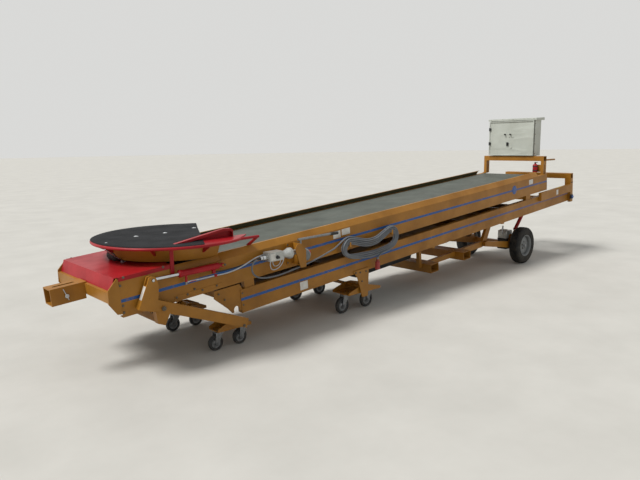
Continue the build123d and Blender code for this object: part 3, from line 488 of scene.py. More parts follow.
def ringRows(centre, direction, radius, count, size, start=0.0):  # rows for a circle of bolts round an axis
    u, v, w = axesFor(direction)
    angle = start + np.arange(count) * 2 * pi / count
    places = np.asarray(centre, float) + radius * (np.cos(angle)[:, None] * u + np.sin(angle)[:, None] * v)
    return np.concatenate([places, np.repeat([w], count, 0), np.full((count, 1), size)], 1)


nodeFinish = {
    "lower_frame": "bandedLower", "upper_frame": "bandedUpperInnerShade", "fork_pockets": "ochreEnamel",
    "belly_pan": "blackEnamel", "rear_portal": "ochreEnamel", "mid_stand": "ochreEnamel",
    "front_lever": "ochreEnamel", "head_crossbar": "ochreEnamel", "tow_socket": "ochreEnamel", "hood": "redEnamel",
    "table_rim": "redEnamel", "table_guard": "redEnamel", "table_plate": "redEnamel", "table_skirt": "ochreEnamel",
    "belt": "beltCover", "drums": "zincPlate", "rear_axle": "ochreEnamel", "drive_box": "greyEnamel",
    "cabinet_portal": "ochreEnamel", "cabinet": "creamPowderCoat", "cabinet_door": "creamPowderCoat",
    "pump_bracket": "ochreEnamel", "pump_unit": "castAlloy", "pump_lever": "zincPlate",
    "cable_plug": "redPolyamide",
}
for side in ("near", "far"):
    nodeFinish.update({f"lever_barrel_{side}": "redEnamel", f"axle_barrel_{side}": "redEnamel",
                       f"lever_rod_{side}": "chromedRod", f"axle_rod_{side}": "chromedRod",
                       f"mid_carrier_{side}": "ochreEnamel", f"front_carrier_{side}": "ochreEnamel",
                       f"road_rim_{side}": "greyEnamel", f"road_tyre_{side}": "tyreRubber"})
    for place in ("front", "mid"):
        for end in "ab":
            nodeFinish[f"castor_fork_{place}_{side}_{end}"] = "zincPlate"
            nodeFinish[f"castor_wheel_{place}_{side}_{end}"] = "castorRubber"


def dressNodes():
    for name, finish in nodeFinish.items():
        mesh = node[name].data
        mesh.materials.clear()
        mesh.materials.append(look(finish))


# The mains cable: its way in, the turns over the hooks, and its way out to the plug; then its layers' y, the turns in
# each, how far a station strays, over how many it changes layer, and how many are left out at the end.
hank = {
    "lead": [(-2641, -676, 908), (-2695, -676, 904), (-2743, -674, 859), (-2745, -672, 800), (-2714, -670, 746),
             (-2648, -668, 711), (-2546, -666, 696), (-2430, -664, 697), (-2320, -663, 708), (-2190, -662, 728),
             (-2050, -662, 752), (-1920, -663, 778), (-1800, -664, 808), (-1690, -664, 842), (-1591, -661, 866)],
    # stations of one turn: inner x, z and outer x, z, going over the hooks and back below
    "turn": [(-1383, 896, -1407, 975), (-1291, 878, -1299, 962), (-1180, 842, -1180, 930), (-1047, 822, -1047, 905),
             (-900, 835, -905, 917), (-759, 900, -785, 975), (-662, 953, -648, 1034), (-598, 933, -537, 1001),
             (-577, 873, -497, 893), (-615, 818, -546, 787), (-729, 789, -695, 708), (-870, 770, -850, 684),
             (-1012, 758, -1012, 667), (-1170, 760, -1190, 676), (-1308, 758, -1368, 709), (-1402, 773, -1482, 783),
             (-1429, 842, -1505, 875)],
    "layers": (-658.0, -678.0), "turnsEach": 4, "wander": 2.2, "seed": 7, "crossOver": 3, "leftOut": 7,
    "tail": [(-640, -678, 745), (-735, -688, 724), (-816, -695, 719), (-862, -690, 703), (-886, -676, 671),
             (-886, -668, 650)],
    "diameter": 18.0,
}


def hankRoute():
    # station k of turn t lies between the inner and outer place: inner + share (outer - inner); the share falls from
    # 1 to 0 over the first layer and grows back over the second
    stations = np.array(hank["turn"], float)
    each, count = hank["turnsEach"], len(stations)
    step = np.arange(2 * each * count)
    share = np.abs(step / (each * count) - 1.0)
    inner, outer = stations[step % count, :2], stations[step % count, 2:]
    places = inner + share[:, None] * (outer - inner)
    rng = np.random.default_rng(hank["seed"])
    places += rng.uniform(-1, 1, places.shape) * hank["wander"] * 0.5
    cross = hank["crossOver"]
    change = np.clip((step - (each * count - cross)) / cross, 0, 1)
    y = hank["layers"][0] + change * (hank["layers"][1] - hank["layers"][0])
    loops = np.stack([places[:, 0], y, places[:, 1]], 1)
    return np.concatenate([hank["lead"], loops[:-hank["leftOut"]], hank["tail"]])


cordForm = {"order": 3, "steps": 5, "roundness": 3}  # the curve's order, its steps a span, its section's roundness


def makeCord(name, route, diameter, finish, body):
    # a smooth curve led by the route's points and given a round section
    data = bpy.data.curves.new(name, "CURVE")
    data.dimensions = "3D"
    spline = data.splines.new("NURBS")
    spline.points.add(len(route) - 1)
    points = np.concatenate([np.asarray(route, float) / 1000, np.ones((len(route), 1))], 1)
    spline.points.foreach_set("co", points.ravel())
    spline.order_u = cordForm["order"]
    spline.use_endpoint_u = True
    spline.resolution_u = cordForm["steps"]
    data.bevel_depth = diameter / 2000
    data.bevel_resolution = cordForm["roundness"]
    data.use_fill_caps = True
    data.materials.append(look(finish))
    cord = bpy.data.objects.new(name, data)
    bpy.context.scene.collection.objects.link(cord)
    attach(cord, body)
    return cord


# The lead's tapered sleeve with its grooves, and the plug's compression nut with its collar, each from the bore out.
cableEnds = {
    "bore": 9.1, "sleeveAt": (-2641, -676, 908), "sleeveAlong": (-54, 0, -4), "head": [(15.0, 0.0), (15.0, 6.0)],
    "grooves": np.arange(8.0, 44.0, 3.0), "radius": 14.2, "taper": 0.11, "groove": 0.9,
    "foot": (9.8, 45.0), "end": 46.0,
    "nutAt": (-886, -668, 648), "nut": [(17, -3), (18, -1), (18, 11), (16, 13)],
    "collar": [(13, 13), (14.5, 13), (14.5, 17), (11, 24), (9.1, 25), (9.1, 13), (13, 13)],
}
hoses = {
    "upper": [(-3141, -654, 820), (-3070, -654, 819), (-2985, -653, 826), (-2895, -650, 842), (-2800, -647, 870),
              (-2705, -641, 905), (-2630, -637, 926), (-2560, -637, 926)],
    "lower": [(-3141, -630, 846), (-3070, -630, 845), (-2985, -631, 848), (-2895, -633, 856), (-2800, -635, 869),
              (-2710, -637, 885), (-2632, -638, 896), (-2560, -638, 896)],
    "diameter": 14.0,
}


def makeCords():
    cable = makeCord("mainsCable", hankRoute(), hank["diameter"], "cableSheath", "upper")
    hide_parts("supply_cable", "cable_coil")
    bore, height = cableEnds["bore"], cableEnds["grooves"]
    radius = cableEnds["radius"] - cableEnds["taper"] * height - cableEnds["groove"] * (height // 3 % 2)
    profile = [(bore, 0.0), *cableEnds["head"], *zip(radius, height), cableEnds["foot"], (bore, cableEnds["end"]),
               (bore, 0.0)]
    sleeve = lathe(profile, cableEnds["sleeveAt"], cableEnds["sleeveAlong"], 28)
    relief = makePiece("leadSleeve", sleeve, "blackGrip", "upper", "black_paint")
    nut = lathe([(bore, -3), *cableEnds["nut"], (bore, 13), (bore, -3)], cableEnds["nutAt"], (0, 0, 1), 8)
    collar = lathe(cableEnds["collar"], cableEnds["nutAt"], (0, 0, 1), 24)
    nut = makePiece("plugNut", joined([nut, collar]), "greyEnamel", "upper", "plug_red")
    upper = makeCord("oilHoseUpper", hoses["upper"], hoses["diameter"], "steelLine", "upper")
    lower = makeCord("oilHoseLower", hoses["lower"], hoses["diameter"], "hoseCover", "upper")
    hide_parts("pump_hoses")


def rampBox(s0, s1, y0, y1, n0, n1, edge):  # a rounded box laid along the slope
    middle = onRamp((s0 + s1) / 2, (y0 + y1) / 2, (n0 + n1) / 2)
    half = np.array([s1 - s0, y1 - y0, n1 - n0]) / 2
    return roundedBox(middle - half, middle + half, edge, slope)


# The round table: its centre, its radius, the line that cuts its mat as that line's distance and direction in
# degrees, how far the mat laps over the rim, how the lap rises, and the curled corner's place, height and reach.
table = {
    "centre": (-3225.0, 0.0), "radius": 738.0, "cut": (277.9, -27.7), "z": 1142.2, "thick": 4.5, "step": 1.5,
    "lap": 26, "lapFrom": 20, "lapSharp": 1.6, "lapRise": 4.5, "lapGrows": (700, 6),
    "curlAt": (545, 450), "curl": 13, "curlReach": 150, "ripple": 0.9, "waves": (95, 120), "lift": 0.9,
    # shares of the radius and of the thickness, round the sheet's section
    "section": [(0.0, 0), (0.5, 0), (0.9, 0), (0.995, 0), (1.0, 0.35), (1.0, 0.7), (0.996, 1), (0.9, 1), (0.75, 1),
                (0.6, 1), (0.45, 1), (0.3, 1), (0.0, 1)],
}


def makeTableMat():
    # In polar form round the centre the outline is the smaller of the radius and cut distance / cos(angle - cut
    # angle); the sheet laps over the rim tube on the far side, curls up at the far corner and ripples by a
    # millimetre or so.
    distance, turn = table["cut"]
    half = np.degrees(np.arccos(distance / (table["radius"] + table["lap"])))
    corners = [(turn + half) % 360, (turn - half) % 360]
    angle = np.radians(np.sort(np.concatenate([np.arange(0, 360, table["step"]), corners])))
    lap = np.clip(np.sin(angle - radians(table["lapFrom"])) * table["lapSharp"], 0, 1) ** 2
    reach = np.cos(angle - radians(turn))
    outline = np.minimum(table["radius"] + table["lap"] * lap, distance / np.maximum(reach, 0.05))
    share, level = np.array(table["section"]).T
    radius = share[:, None] * outline
    x, y = radius * np.cos(angle), radius * np.sin(angle)
    (curlX, curlY), (waveX, waveY) = table["curlAt"], table["waves"]
    curl = table["curl"] * np.exp(-((x - curlX) ** 2 + (y - curlY) ** 2) / table["curlReach"] ** 2)
    far, power = table["lapGrows"]
    curl = curl + table["lapRise"] * lap * np.clip(radius / far, 0, 1) ** power
    ripple = table["ripple"] * np.sin(x / waveX + 1.0) * np.sin(y / waveY) * np.clip(share[:, None], 0, 1)
    z = table["z"] + level[:, None] * table["thick"] + curl + table["lift"] + ripple
    points = np.stack([x + table["centre"][0], y + table["centre"][1], z], -1)
    faces = gridFaces(len(share), len(angle), roundCols=True)
    makePiece("tableMat", (points.reshape(-1, 3), faces), "matRubber", "upper", "mat_rubber")


castors = {}  # name: x, y of the swivel, wheel radius, trail
for side, sign in sides:
    for group, ends, radius in (("front", (-3005.0, -2715.0), 80.0), ("mid", (-1210.0, -790.0), 100.0)):
        for end, x in zip("ab", ends):
            castors[f"{group}_{side.lower()}_{end}"] = (x, sign * 430.0, radius, radius / 2)


def makeBolts():
    sets = [  # name, kind, body, and rows of x, y, z, direction and size in mm
        ("hoodBolts", "hex", "upper", mirrored(faceBolts([(-4016, 938), (-3647, 970)], 593.3, 11))),
        ("cheekBolts", "hex", "upper", mirrored(rampFace([(-1189, 596), (-1189, 419), (-1189, 358)], 590, 11))),
        ("stripBolts", "hex", "upper", mirrored(rampFace(
            [(-690, 354), (-578, 354), (-500, 384), (-421, 354), (-262, 356)], 594, 10))),
        ("pumpBolts", "hex", "upper", faceBolts([(-2226, 792), (-2226, 982), (-2085, 982), (-2085, 792)], 600, 9)),
        ("standBolts", "hex", "chassis", mirrored(faceBolts(
            [(-1196, 512), (-1120, 506), (-1020, 506), (-1092, 395)], 602, 11))),
        ("gussetBolts", "hex", "chassis", mirrored(rampFace(
            [(-250, 262), (-190, 190), (20, 200), (20, 80)], 590, 9))),
        ("portalBolts", "hex", "chassis", mirrored(rampFace(
            [(7222, 40), (7268, 40), (7222, 330), (7268, 330)], 640, 10))),
        ("cabinetBolts", "round", "upper", [
            (3402, y, z, -1, 0, 0, 7) for y in (-395, -408) for z in (1800, 1960, 2120, 2300)]),
        ("roofRivets", "round", "upper", [(3384, y, 2384, -1, 0, 0, 6) for y in (-380, -200, 0, 200, 420)]),
        ("tableStuds", "dome", "upper", [
            (-3527, 162, 1147.4, 0, 0, 1, 11), (-3219, 152, 1147.4, 0, 0, 1, 11), (-2835, 232, 1149, 0, 0, 1, 11),
            (-3894, 8, 1147.4, 0, 0, 1, 7)]),
        ("leverNuts", "hex", "lever", mirrored([(-3705, -680, 620, 0, -1, 0, 20), (-2860, -672, 270, 0, -1, 0, 14)])),
        ("cylinderPinNuts", "hex", "upper", mirrored([(-3047, -662, 909, 0, -1, 0, 11)])),
        ("axleNuts", "hex", "axle", mirrored([(2905, -560, 300, 0, -1, 0, 17)])),
    ]
    for name, kind, body, rows in sets:
        makePiece(name, boltsAt(kind, rows), "brightStud" if kind == "dome" else "boltZinc", body, "zinc_steel")


# A strip along the web with its height over the slope, and a round blank mark as radius and height over the web.
strip = {"along": (-712, -190), "y": (590, 594), "height": (340, 370), "edge": 1.5}
roundMark = {"at": (5312, -590, 467), "section": [(0, -0.5), (68, -0.5), (68, 0.9), (67, 1.2), (0, 1.2)]}
# The blank labels: along and square to the slope from and to, y, body and finish.
labels = {
    "numberPlateBlank": (1312, 1428, 488, 568, -590, "upper", "blankLabel"),
    "typePlateBlank": (1448, 1582, 502, 572, -590, "upper", "blankLabel"),
    "lowerPlateBlank": (770, 880, 26, 116, -590, "chassis", "blankLabel"),
    "rearPlateBlank": (5780, 5910, 484, 560, -590, "upper", "blankLabel"),
    "portalPlateBlank": (6650, 6720, 190, 275, -640, "chassis", "blankLabel"),
}
# The blank on the slanting front face of the lever's box: that face's two ends in x and z, the label's span along it,
# its span in y, and its thickness.
leverLabel = {"face": ((-3932.0, 650.0), (-3842.0, 862.0)), "span": (84, 205), "y": (620, 664), "thick": 1.2}


def makeStripsAndLabels():
    for side, sign in sides:
        y0, y1 = sorted(sign * y for y in strip["y"])
        shape = rampBox(*strip["along"], y0, y1, *strip["height"], strip["edge"])
        makePiece("webStrip" + side, shape, "ochreEnamel", "upper", "ochre_paint")
    for name, (s0, s1, n0, n1, y, body, finish) in labels.items():
        makePiece(name, rampBox(s0, s1, y - 1.2, y, n0, n1, 0.5), finish, body, "ochre_paint")
    disc = lathe(roundMark["section"], onRamp(*roundMark["at"]), (0, -1, 0), 48)
    makePiece("roundMarkBlank", disc, "blueLabel", "upper", "ochre_paint")
    low, high = np.array(leverLabel["face"])
    along = (high - low) / np.hypot(*(high - low))
    out = np.array([-along[1], along[0]]) * leverLabel["thick"]
    start, end = (low + along * t for t in leverLabel["span"])
    outline = (start, start + out, end + out, end)
    faces = [[0, 1, 2, 3], [7, 6, 5, 4], [0, 4, 5, 1], [1, 5, 6, 2], [2, 6, 7, 3], [3, 7, 4, 0]]
    for side, sign in sides:
        points = [(x, sign * y, z) for y in leverLabel["y"] for x, z in outline]
        makePiece("leverLabelBlank" + side, (points, faces), "blankLabel", "lever", "ochre_paint")


# The road wheels: the axle's x and z, y, and in mm the tyre's radius, half width and rim. The tread's rings lie at y;
# its cuts and slits are so many a turn, lean with y, are as wide as their wave is above a level, and keep to a side.
# The line is moulded in the wall: its height over the rim, half its width and the share by which it stands out.
wheel = {
    "axle": (2905.0, 300.0), "y": 510.0, "radius": 300.0, "half": 82.5, "rim": 168.0, "tread": 16,
    "rings": ((-36.0, -12.0, 12.0, 36.0), 3.0, 6.5), "cuts": (60, 0.05, 0.72, 42, 5.0),
    "slits": (45, 0.12, 0.93, 34, 3.0), "line": (40, 3, 0.01), "around": 360,
    "hubOut": 46, "hub": [(0, -4), (26, -4), (26, 8), (24, 16), (18, 21), (8, 23), (0, 23)],
    "nutsOut": 33.5, "nuts": (54.0, 5, 11.0, 0.3),  # their circle's radius, number, size and first angle
}


def makeTyre(side, sign):
    # The tyre's section runs once round the carcass; grooves are cut where the outer surface faces out: four rings
    # between the ribs, slanting cuts in the shoulders, all a few mm deep, as functions of the angle and the width.
    r, w, t = wheel["rim"], wheel["half"], wheel["radius"]
    wall = [(r + 8.4, 10), (r + 14, 4), (r + 30, 1), (r + 55, 0.2), (r + 78, 0.2), (r + 98, 4), (t - 14, 14),
            (t - 5, 24), (t - 1, 40)]
    bead = [(r + 20, 34), (r + 4, 30)]
    corners = [(radius, inset - w) for radius, inset in wall] + [(t, 0)]
    corners += [(radius, w - inset) for radius, inset in wall[::-1] + bead[::-1]]
    corners += [(radius, inset - w) for radius, inset in bead]
    closed = np.array(corners + corners[:1])
    step = np.concatenate([[0], np.cumsum(np.hypot(*np.diff(closed, axis=0).T))])
    runs = ((0, 6, 22), (6, 12, 74), (12, 18, 22), (18, -1, 8))  # corner to corner, and how many points between
    fine = np.concatenate([np.linspace(step[a], step[b], count, endpoint=False) for a, b, count in runs])
    radius, across = np.interp(fine, step, closed[:, 0]), np.interp(fine, step, closed[:, 1])
    angle = np.arange(wheel["around"])[:, None] * 2 * pi / wheel["around"]
    tread = radius > t - wheel["tread"]
    places, half, ringDepth = wheel["rings"]
    rings = np.min(np.abs(across[:, None] - np.array(places)), 1) < half
    count, lean, level, edge, cutDepth = wheel["cuts"]
    cuts = (np.sin(angle * count + np.abs(across) * lean) > level) & (np.abs(across) > edge)
    count, lean, level, edge, slitDepth = wheel["slits"]
    slits = (np.sin(angle * count + across * lean) > level) & (np.abs(across) < edge)
    depth = ringDepth * (tread & rings) + cutDepth * (tread & cuts & ~rings) + slitDepth * (tread & slits & ~rings)
    height, half, share = wheel["line"]
    line = share * (np.abs(radius - (r + height)) < half)
    y = np.broadcast_to(across * (1 + line), depth.shape)
    ax, az = wheel["axle"]
    radial = radius - depth
    points = np.stack([ax + radial * np.cos(angle), sign * wheel["y"] + y, az + radial * np.sin(angle)], -1)
    body = "road_wheel_" + side.lower()
    faces = gridFaces(*depth.shape, True, True)
    tyre = makePiece("treadedTyre" + side, (points.reshape(-1, 3), faces), "tyreRubber", body, "tyre_rubber", 32.0)
    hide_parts("road_tyre_" + side.lower())
    cap = lathe(wheel["hub"], (ax, sign * (wheel["y"] + wheel["hubOut"]), az), (0, sign, 0), 32)
    makePiece("hubCap" + side, cap, "zincPlate", body, "grey_paint")
    nuts = ringRows((ax, sign * (wheel["y"] + wheel["nutsOut"]), az), (0, sign, 0), *wheel["nuts"])
    makePiece("wheelNuts" + side, boltsAt("hex", nuts), "boltZinc", body, "zinc_steel")


# The castors' pressed discs as shares of the wheel's radius, the swivel race's section and its height over the wheel,
# and the top plates: each one's half size, thickness, underside by group, and the bolts' places from its middle.
castorForm = {
    "inner": 0.26, "outer": 0.655, "nutsOut": 43.2, "raceUp": 29,
    "race": [(33, -2), (37, -1), (38, 2), (37, 4.5), (34, 5), (33, 5), (33, -2)],
    "plate": (48, 42, 2.9), "top": {"front": 201.5, "mid": 241.5}, "bolts": (37, 30, 8), "bolt": 8.0,
}


def makeCastorParts():
    inner, outer = castorForm["inner"], castorForm["outer"]
    for name, (x, y, radius, trail) in castors.items():
        a, b = radius * inner, radius * outer
        profile = [(10, 8), (b, 8), (b, 13.4), (b - 2, 14.4), (b - 7, 13.2), (a + 8, 12.6), (a + 3, 16), (a, 22),
                   (10, 22.6), (10, 8)]
        discs = joined([lathe(profile, (x - trail, y, radius), (0, sign, 0), 36) for sign in (-1, 1)])
        makePiece("castorDiscs_" + name, discs, "zincPlate", "castor_wheel_" + name, "zinc_steel")
        out, size = castorForm["nutsOut"], castorForm["bolt"]
        ends = boltsAt("hex", [(x - trail, y + sign * out, radius, 0, sign, 0, size) for sign in (-1, 1)])
        race = lathe(castorForm["race"], (x, y, 2 * radius + castorForm["raceUp"]), (0, 0, 1), 32)
        makePiece("castorFork_" + name, joined([ends, race]), "zincPlate", "castor_fork_" + name, "zinc_steel")
    (halfX, halfY, thick), (boltX, boltY, up) = castorForm["plate"], castorForm["bolts"]
    for group, top in castorForm["top"].items():
        for side in ("near", "far"):
            parts = []
            for end in "ab":
                x, y = castors[f"{group}_{side}_{end}"][:2]
                parts.append(roundedBox((x - halfX, y - halfY, top - thick), (x + halfX, y + halfY, top), 1.2))
                corners = [(x + dx, y + dy, top + up, 0, 0, 1, size)
                           for dx in (-boltX, boltX) for dy in (-boltY, boltY)]
                parts.append(boltsAt("hex", corners))
            body = f"{group}_carrier_{side}"
            makePiece(f"castorPlates_{group}_{side}", joined(parts), "boltZinc", body, "zinc_steel")


# The lever's cylinders: the barrel pin's and the rod pin's x and z, y, where the gland sits along them, the gland's
# and the elbow's sections, and the port on the slope with the far end of its hose.
cylinder = {
    "from": (-3062.9, 907.2), "to": (-3785.0, 885.0), "y": 642, "glandAt": 440,
    "gland": [(16.6, 0), (33.5, 0), (34.6, 1), (34.6, 17), (33, 19), (24, 20), (21, 24), (16.6, 24), (16.6, 0)],
    "elbow": [(0, -14), (13, -14), (13, 3), (12, 5), (9, 6), (9, 12), (0, 12)],
    "port": (-600, 492), "hoseEnd": (-300, 505), "hose": 8.0,
}


def makeCylinderParts():
    # each cylinder's gland turned about its axis, its port's elbow, and the hose swept along a smooth run from there
    start, along = np.array(cylinder["from"]), np.array(cylinder["to"]) - cylinder["from"]
    along /= np.hypot(*along)
    x, z = start + along * cylinder["glandAt"]
    px, _, pz = onRamp(cylinder["port"][0], 0, cylinder["port"][1])
    ex, _, ez = onRamp(cylinder["hoseEnd"][0], 0, cylinder["hoseEnd"][1])
    for side, sign in (("near", -1), ("far", 1)):
        y, body = sign * cylinder["y"], "lever_barrel_" + side
        gland = lathe(cylinder["gland"], (x, y, z), (along[0], 0, along[1]), 40)
        makePiece(f"cylinderGland_{side}", gland, "redEnamel", body, "red_paint")
        run = [(px + 4, y, pz - 8), (px + 60, y, pz - 3), ((px + ex) / 2, y + sign * 6, (pz + ez) / 2 - 19),
               (ex - 14, y + sign * 12, ez - 30)]
        hose = sweep(pathThrough(run, 40), roundSection(cylinder["hose"], 14))
        makePiece(f"portHose_{side}", hose, "steelLine", body, "hose_rubber")
        elbow = lathe(cylinder["elbow"], (px, y, pz - 18), (0, 0, -1), 6)
        makePiece(f"portFitting_{side}", elbow, "zincPlate", body, "zinc_steel")


# The motor's fins: their number, the shell's start on its axis, its length, its skirt and the fins' two radii.
fins = {"count": 48, "start": (-2130.0, -662, 862), "length": 100, "skirt": 62.1, "radii": (64.6, 62.2)}


def finnedShell():
    # a tube whose radius steps between two values round the axis, two points high and two low, with plain skirts
    count = fins["count"] * 4
    angle = np.arange(count) * 2 * pi / count
    wave = np.where(np.arange(count) % 4 < 2, *fins["radii"])
    plain = np.full(count, fins["skirt"])
    radius = np.stack([plain, wave, wave, plain])
    along = np.broadcast_to(np.array([0, 2, fins["length"] - 2, fins["length"]])[:, None], radius.shape)
    x, y, z = fins["start"]
    points = np.stack([x + along, y + radius * np.cos(angle), z + radius * np.sin(angle)], -1)
    return points.reshape(-1, 3), gridFaces(*radius.shape, roundCols=True)


gripRings = [(17.4 + 0.9 * (k % 2), 6 + 5 * k) for k in range(21)]
hosePorts = ((-637, 926), (-638, 896))
pumpParts = {  # name: forms with their numbers, finish, body, slot
    "cableGland": ([
        (lathe, [(10.5, 0), (19, 0), (21.5, 2), (21.5, 26), (20, 28), (20, 36), (21.5, 38), (21.5, 60), (10.5, 60),
                 (10.5, 0)], (-2641.5, -676, 908), (1, 0, 0), 24),
    ], "chromedRod", "upper", "zinc_steel"),
    "valveKnob": ([
        (lathe, [(0, -2), (19, -2), (19, 3), (17, 5), (9, 6), (9, 15), (14, 16), (14, 24), (12, 26), (0, 26)],
         (-2465, -730, 905), (0, -1, 0), 28),
    ], "blackGrip", "upper", "pump_paint"),
    "valvePlateBlank": ([
        (roundedBox, (-2545, -731.2, 878), (-2490, -730, 946), 0.5),
    ], "blankLabel", "upper", "pump_paint"),
    "oilPipeOuter": ([
        (pipe, [(-2528, -698, 872), (-2536, -700, 830), (-2524, -703, 788), (-2490, -704, 776), (-2440, -704, 786),
                (-2400, -702, 812), (-2368, -698, 850), (-2352, -694, 884)], 60, 5.0),
    ], "steelLine", "upper", "pump_paint"),
    "oilPipeInner": ([
        (pipe, [(-2496, -694, 872), (-2500, -696, 842), (-2480, -697, 812), (-2440, -697, 812), (-2408, -695, 834),
                (-2396, -690, 872)], 48, 4.5),
    ], "steelLine", "upper", "pump_paint"),
    "leverGrip": ([
        (lathe, [(0, 0), (15, 0), (18, 3), *gripRings, (18.5, 110), (15, 114), (0, 114)],
         (-1701, -700, 1048.7), (1, 0, 0.002), 28),
    ], "blackGrip", "upper", "pump_paint"),
    "motorFins": ([
        (finnedShell,),
    ], "greyEnamel", "upper", "pump_paint"),
    "motorCover": ([
        (lathe, [(62.5, 0), (65, 1), (65.5, 14), (60, 20), (42, 22), (42, 0)], (-2034, -662, 862), (1, 0, 0), 40),
    ], "greyEnamel", "upper", "pump_paint"),
    "motorVent": ([
        (lathe, [(0, 0), (20, 0), (23, 3), (23, 12), (20, 15), (0, 16)], (-1993.5, -668, 880), (1, 0, 0), 28),
    ], "redEnamel", "upper", "red_paint"),
    "hoseEnds": ([
        *[(lathe, [(7.5, 0), (12, 0), (13.5, 1.5), (13.5, 16), (12, 17.5), (7.5, 17.5), (7.5, 0)], (-2577, y, z),
           (1, 0, 0), 6) for y, z in hosePorts],
        *[(lathe, [(7.5, 0), (11, 0), (11, 20), (7.5, 20), (7.5, 0)], (-2599, y, z), (1, 0, 0), 18)
          for y, z in hosePorts],
    ], "zincPlate", "upper", "zinc_steel"),
}
towParts = {
    "linchPin": ([
        (pipe, [(-4342, -90.5, 806), (-4330, -93, 776), (-4316, -97, 742), (-4306, -95, 718), (-4300, -91, 704)],
         30, 4.0, 12),
        (lathe, [(0, -12), (7, -12), (7, 2), (17, 2), (18, 4), (18, 8), (15, 11), (0, 12)],
         (-4314, -90, 741), (0, -1, 0), 28),
    ], "brightStud", "upper", "zinc_steel"),
}

# The sheets beside the hood: places along the slope with how far the top leans in, and the outline's y and height.
closure = {
    "stations": [(-1196, 0), (-677, 0), (-674, 42), (-181, 42)],
    "outline": [(586.6, 505), (589.6, 505), (589.6, 582), (589.6, 640), (588.0, 643), (586.6, 640), (586.6, 582)],
    "leaning": [0, 0, 0, 1, 1, 1, 0],
}


def makeSideClosures():
    # Sheets that close the web's top beside the hood: upright to the strap, then leaning in like the guard behind.
    s, lean = np.array(closure["stations"], float).T
    y, n = np.array(closure["outline"]).T
    y = y - lean[:, None] * np.array(closure["leaning"])
    for side, sign in sides:
        points = onRamp(s[:, None], sign * y, n)
        shape = points.reshape(-1, 3), tubeFaces(*points.shape[:2])
        makePiece("webClosure" + side, shape, "ochreEnamel", "upper", "ochre_paint")


# The sheet between the lower frame's webs: its stations along the slope, half its section's width and height over it
# from the flat to the turned up edge, its level, thickness, and the cross ribs' pitch, width, height and reach in y.
deck = {
    "along": (120.0, 160.0, 6290.0, 12.0, 6300.0), "across": (540.0, 562.0, 565.0, 566.0),
    "lift": (0.0, 1.5, 8.0, 40.0), "level": 24.0, "thick": 2.0, "pitch": 620.0, "rib": 60, "ribHeight": 9.0,
    "ribReach": 545,
}


def makeDeckSheet():
    # One pressed sheet: its height over the width is flat with two turned up edges, and every pitch it is pressed
    # into a shallow cross rib, half a cosine wave 60 mm long and 9 mm high.
    first, start, end, step, last = deck["along"]
    along = np.concatenate([[first], np.arange(start, end, step), [last]])
    across = np.array([-y for y in deck["across"][::-1]] + list(deck["across"]))
    lift = np.array(deck["lift"][::-1] + deck["lift"])
    away = np.mod(along, deck["pitch"]) - deck["pitch"] / 2
    rib = deck["ribHeight"] * np.clip(np.cos(away * pi / deck["rib"]), 0, 1) * (np.abs(away) < deck["rib"] / 2)
    n = deck["level"] + lift + rib[:, None] * (np.abs(across) < deck["ribReach"])
    upper = onRamp(along[:, None], across, n + deck["thick"])
    lower = onRamp(along[:, None], across[::-1], n[:, ::-1])
    ring = np.concatenate([upper, lower], 1)
    makePiece("deckSheet", (ring.reshape(-1, 3), tubeFaces(*ring.shape[:2])), "ochreEnamel", "chassis", "ochre_paint")


door = {"x": 3404.0, "y": (-377.0, 467.0), "z": (1762.0, 2356.0)}


def foldedRim():
    # the door's folded edge: six loops of its outline, drawn in from the door's edge and out from its face
    (y0, y1), (z0, z1), x = door["y"], door["z"], door["x"]
    rim, inner = [np.array([(y0 + t, z0 + t), (y1 - t, z0 + t), (y1 - t, z1 - t), (y0 + t, z1 - t)]) for t in (2, 16)]
    share = np.array([0, 0, 0.25, 0.8, 1, 1])[:, None, None]
    face = np.broadcast_to(x + np.array([1.0, -2.2, -3.2, -3.2, -1.6, 1.0])[:, None, None], (6, 4, 1))
    points = np.concatenate([face, rim + (inner - rim) * share], -1)
    return points.reshape(-1, 3), gridFaces(6, 4, True, True)


hingeHeights, knobPlaces, tankBands, glands = (1972, 2222), (50, 150), (1508, 1578), (-160, -90, 120, 210)
cabinetParts = {
    "doorHinges": ([
        *[(roundedBox, (3395, 432, z - 24), (3408, 460, z + 24), 3) for z in hingeHeights],
        *[(lathe, [(0, -26), (6, -26), (7, -25), (7, 25), (6, 26), (0, 26)], (3396, 461, z), (0, 0, 1), 16)
          for z in hingeHeights],
    ], "blackGrip", "door", "black_paint"),
    "doorLock": ([
        (roundedBox, (3399, 84, 1932), (3405, 126, 1992), 2.5),
        (lathe, [(0, -2), (13, -2), (13, 7), (11, 10), (0, 10)], (3399, 105, 1972), (-1, 0, 0), 24),
        (roundedBox, (3387, 99, 1940), (3393, 111, 1980), 2.5),
    ], "blackGrip", "door", "black_paint"),
    "doorKnobs": ([
        (lathe, [(0, -2), (12, -2), (12, 4), (9, 6), (6, 7), (6, 14), (13, 17), (13, 24), (10, 27), (0, 27)],
         (3404, y, 2128), (-1, 0, 0), 24) for y in knobPlaces
    ], "blackGrip", "door", "black_paint"),
    "doorFold": ([
        (foldedRim,),
    ], "creamPowderCoat", "door", "cream_paint", 20.0),
    "doorSeal": ([
        (roundedBox, (3425, -384, 1758), (3432, -378, 2360), 1.5),
    ], "blackEnamel", "upper", "black_paint"),
    # black tray with glands under the cabinet: its black is painted shade for the dark gap below the cabinet
    "glandTrayShade": ([
        (roundedBox, (3470, -300, 1726), (3640, 380, 1761), 6),
        *[(lathe, [(0, 0), (20, 0), (20, -18), (14, -22), (14, -40), (0, -40)], (3500, y, 1727), (0, 0, 1), 20)
          for y in glands],
    ], "blackEnamel", "upper", "black_paint"),
}
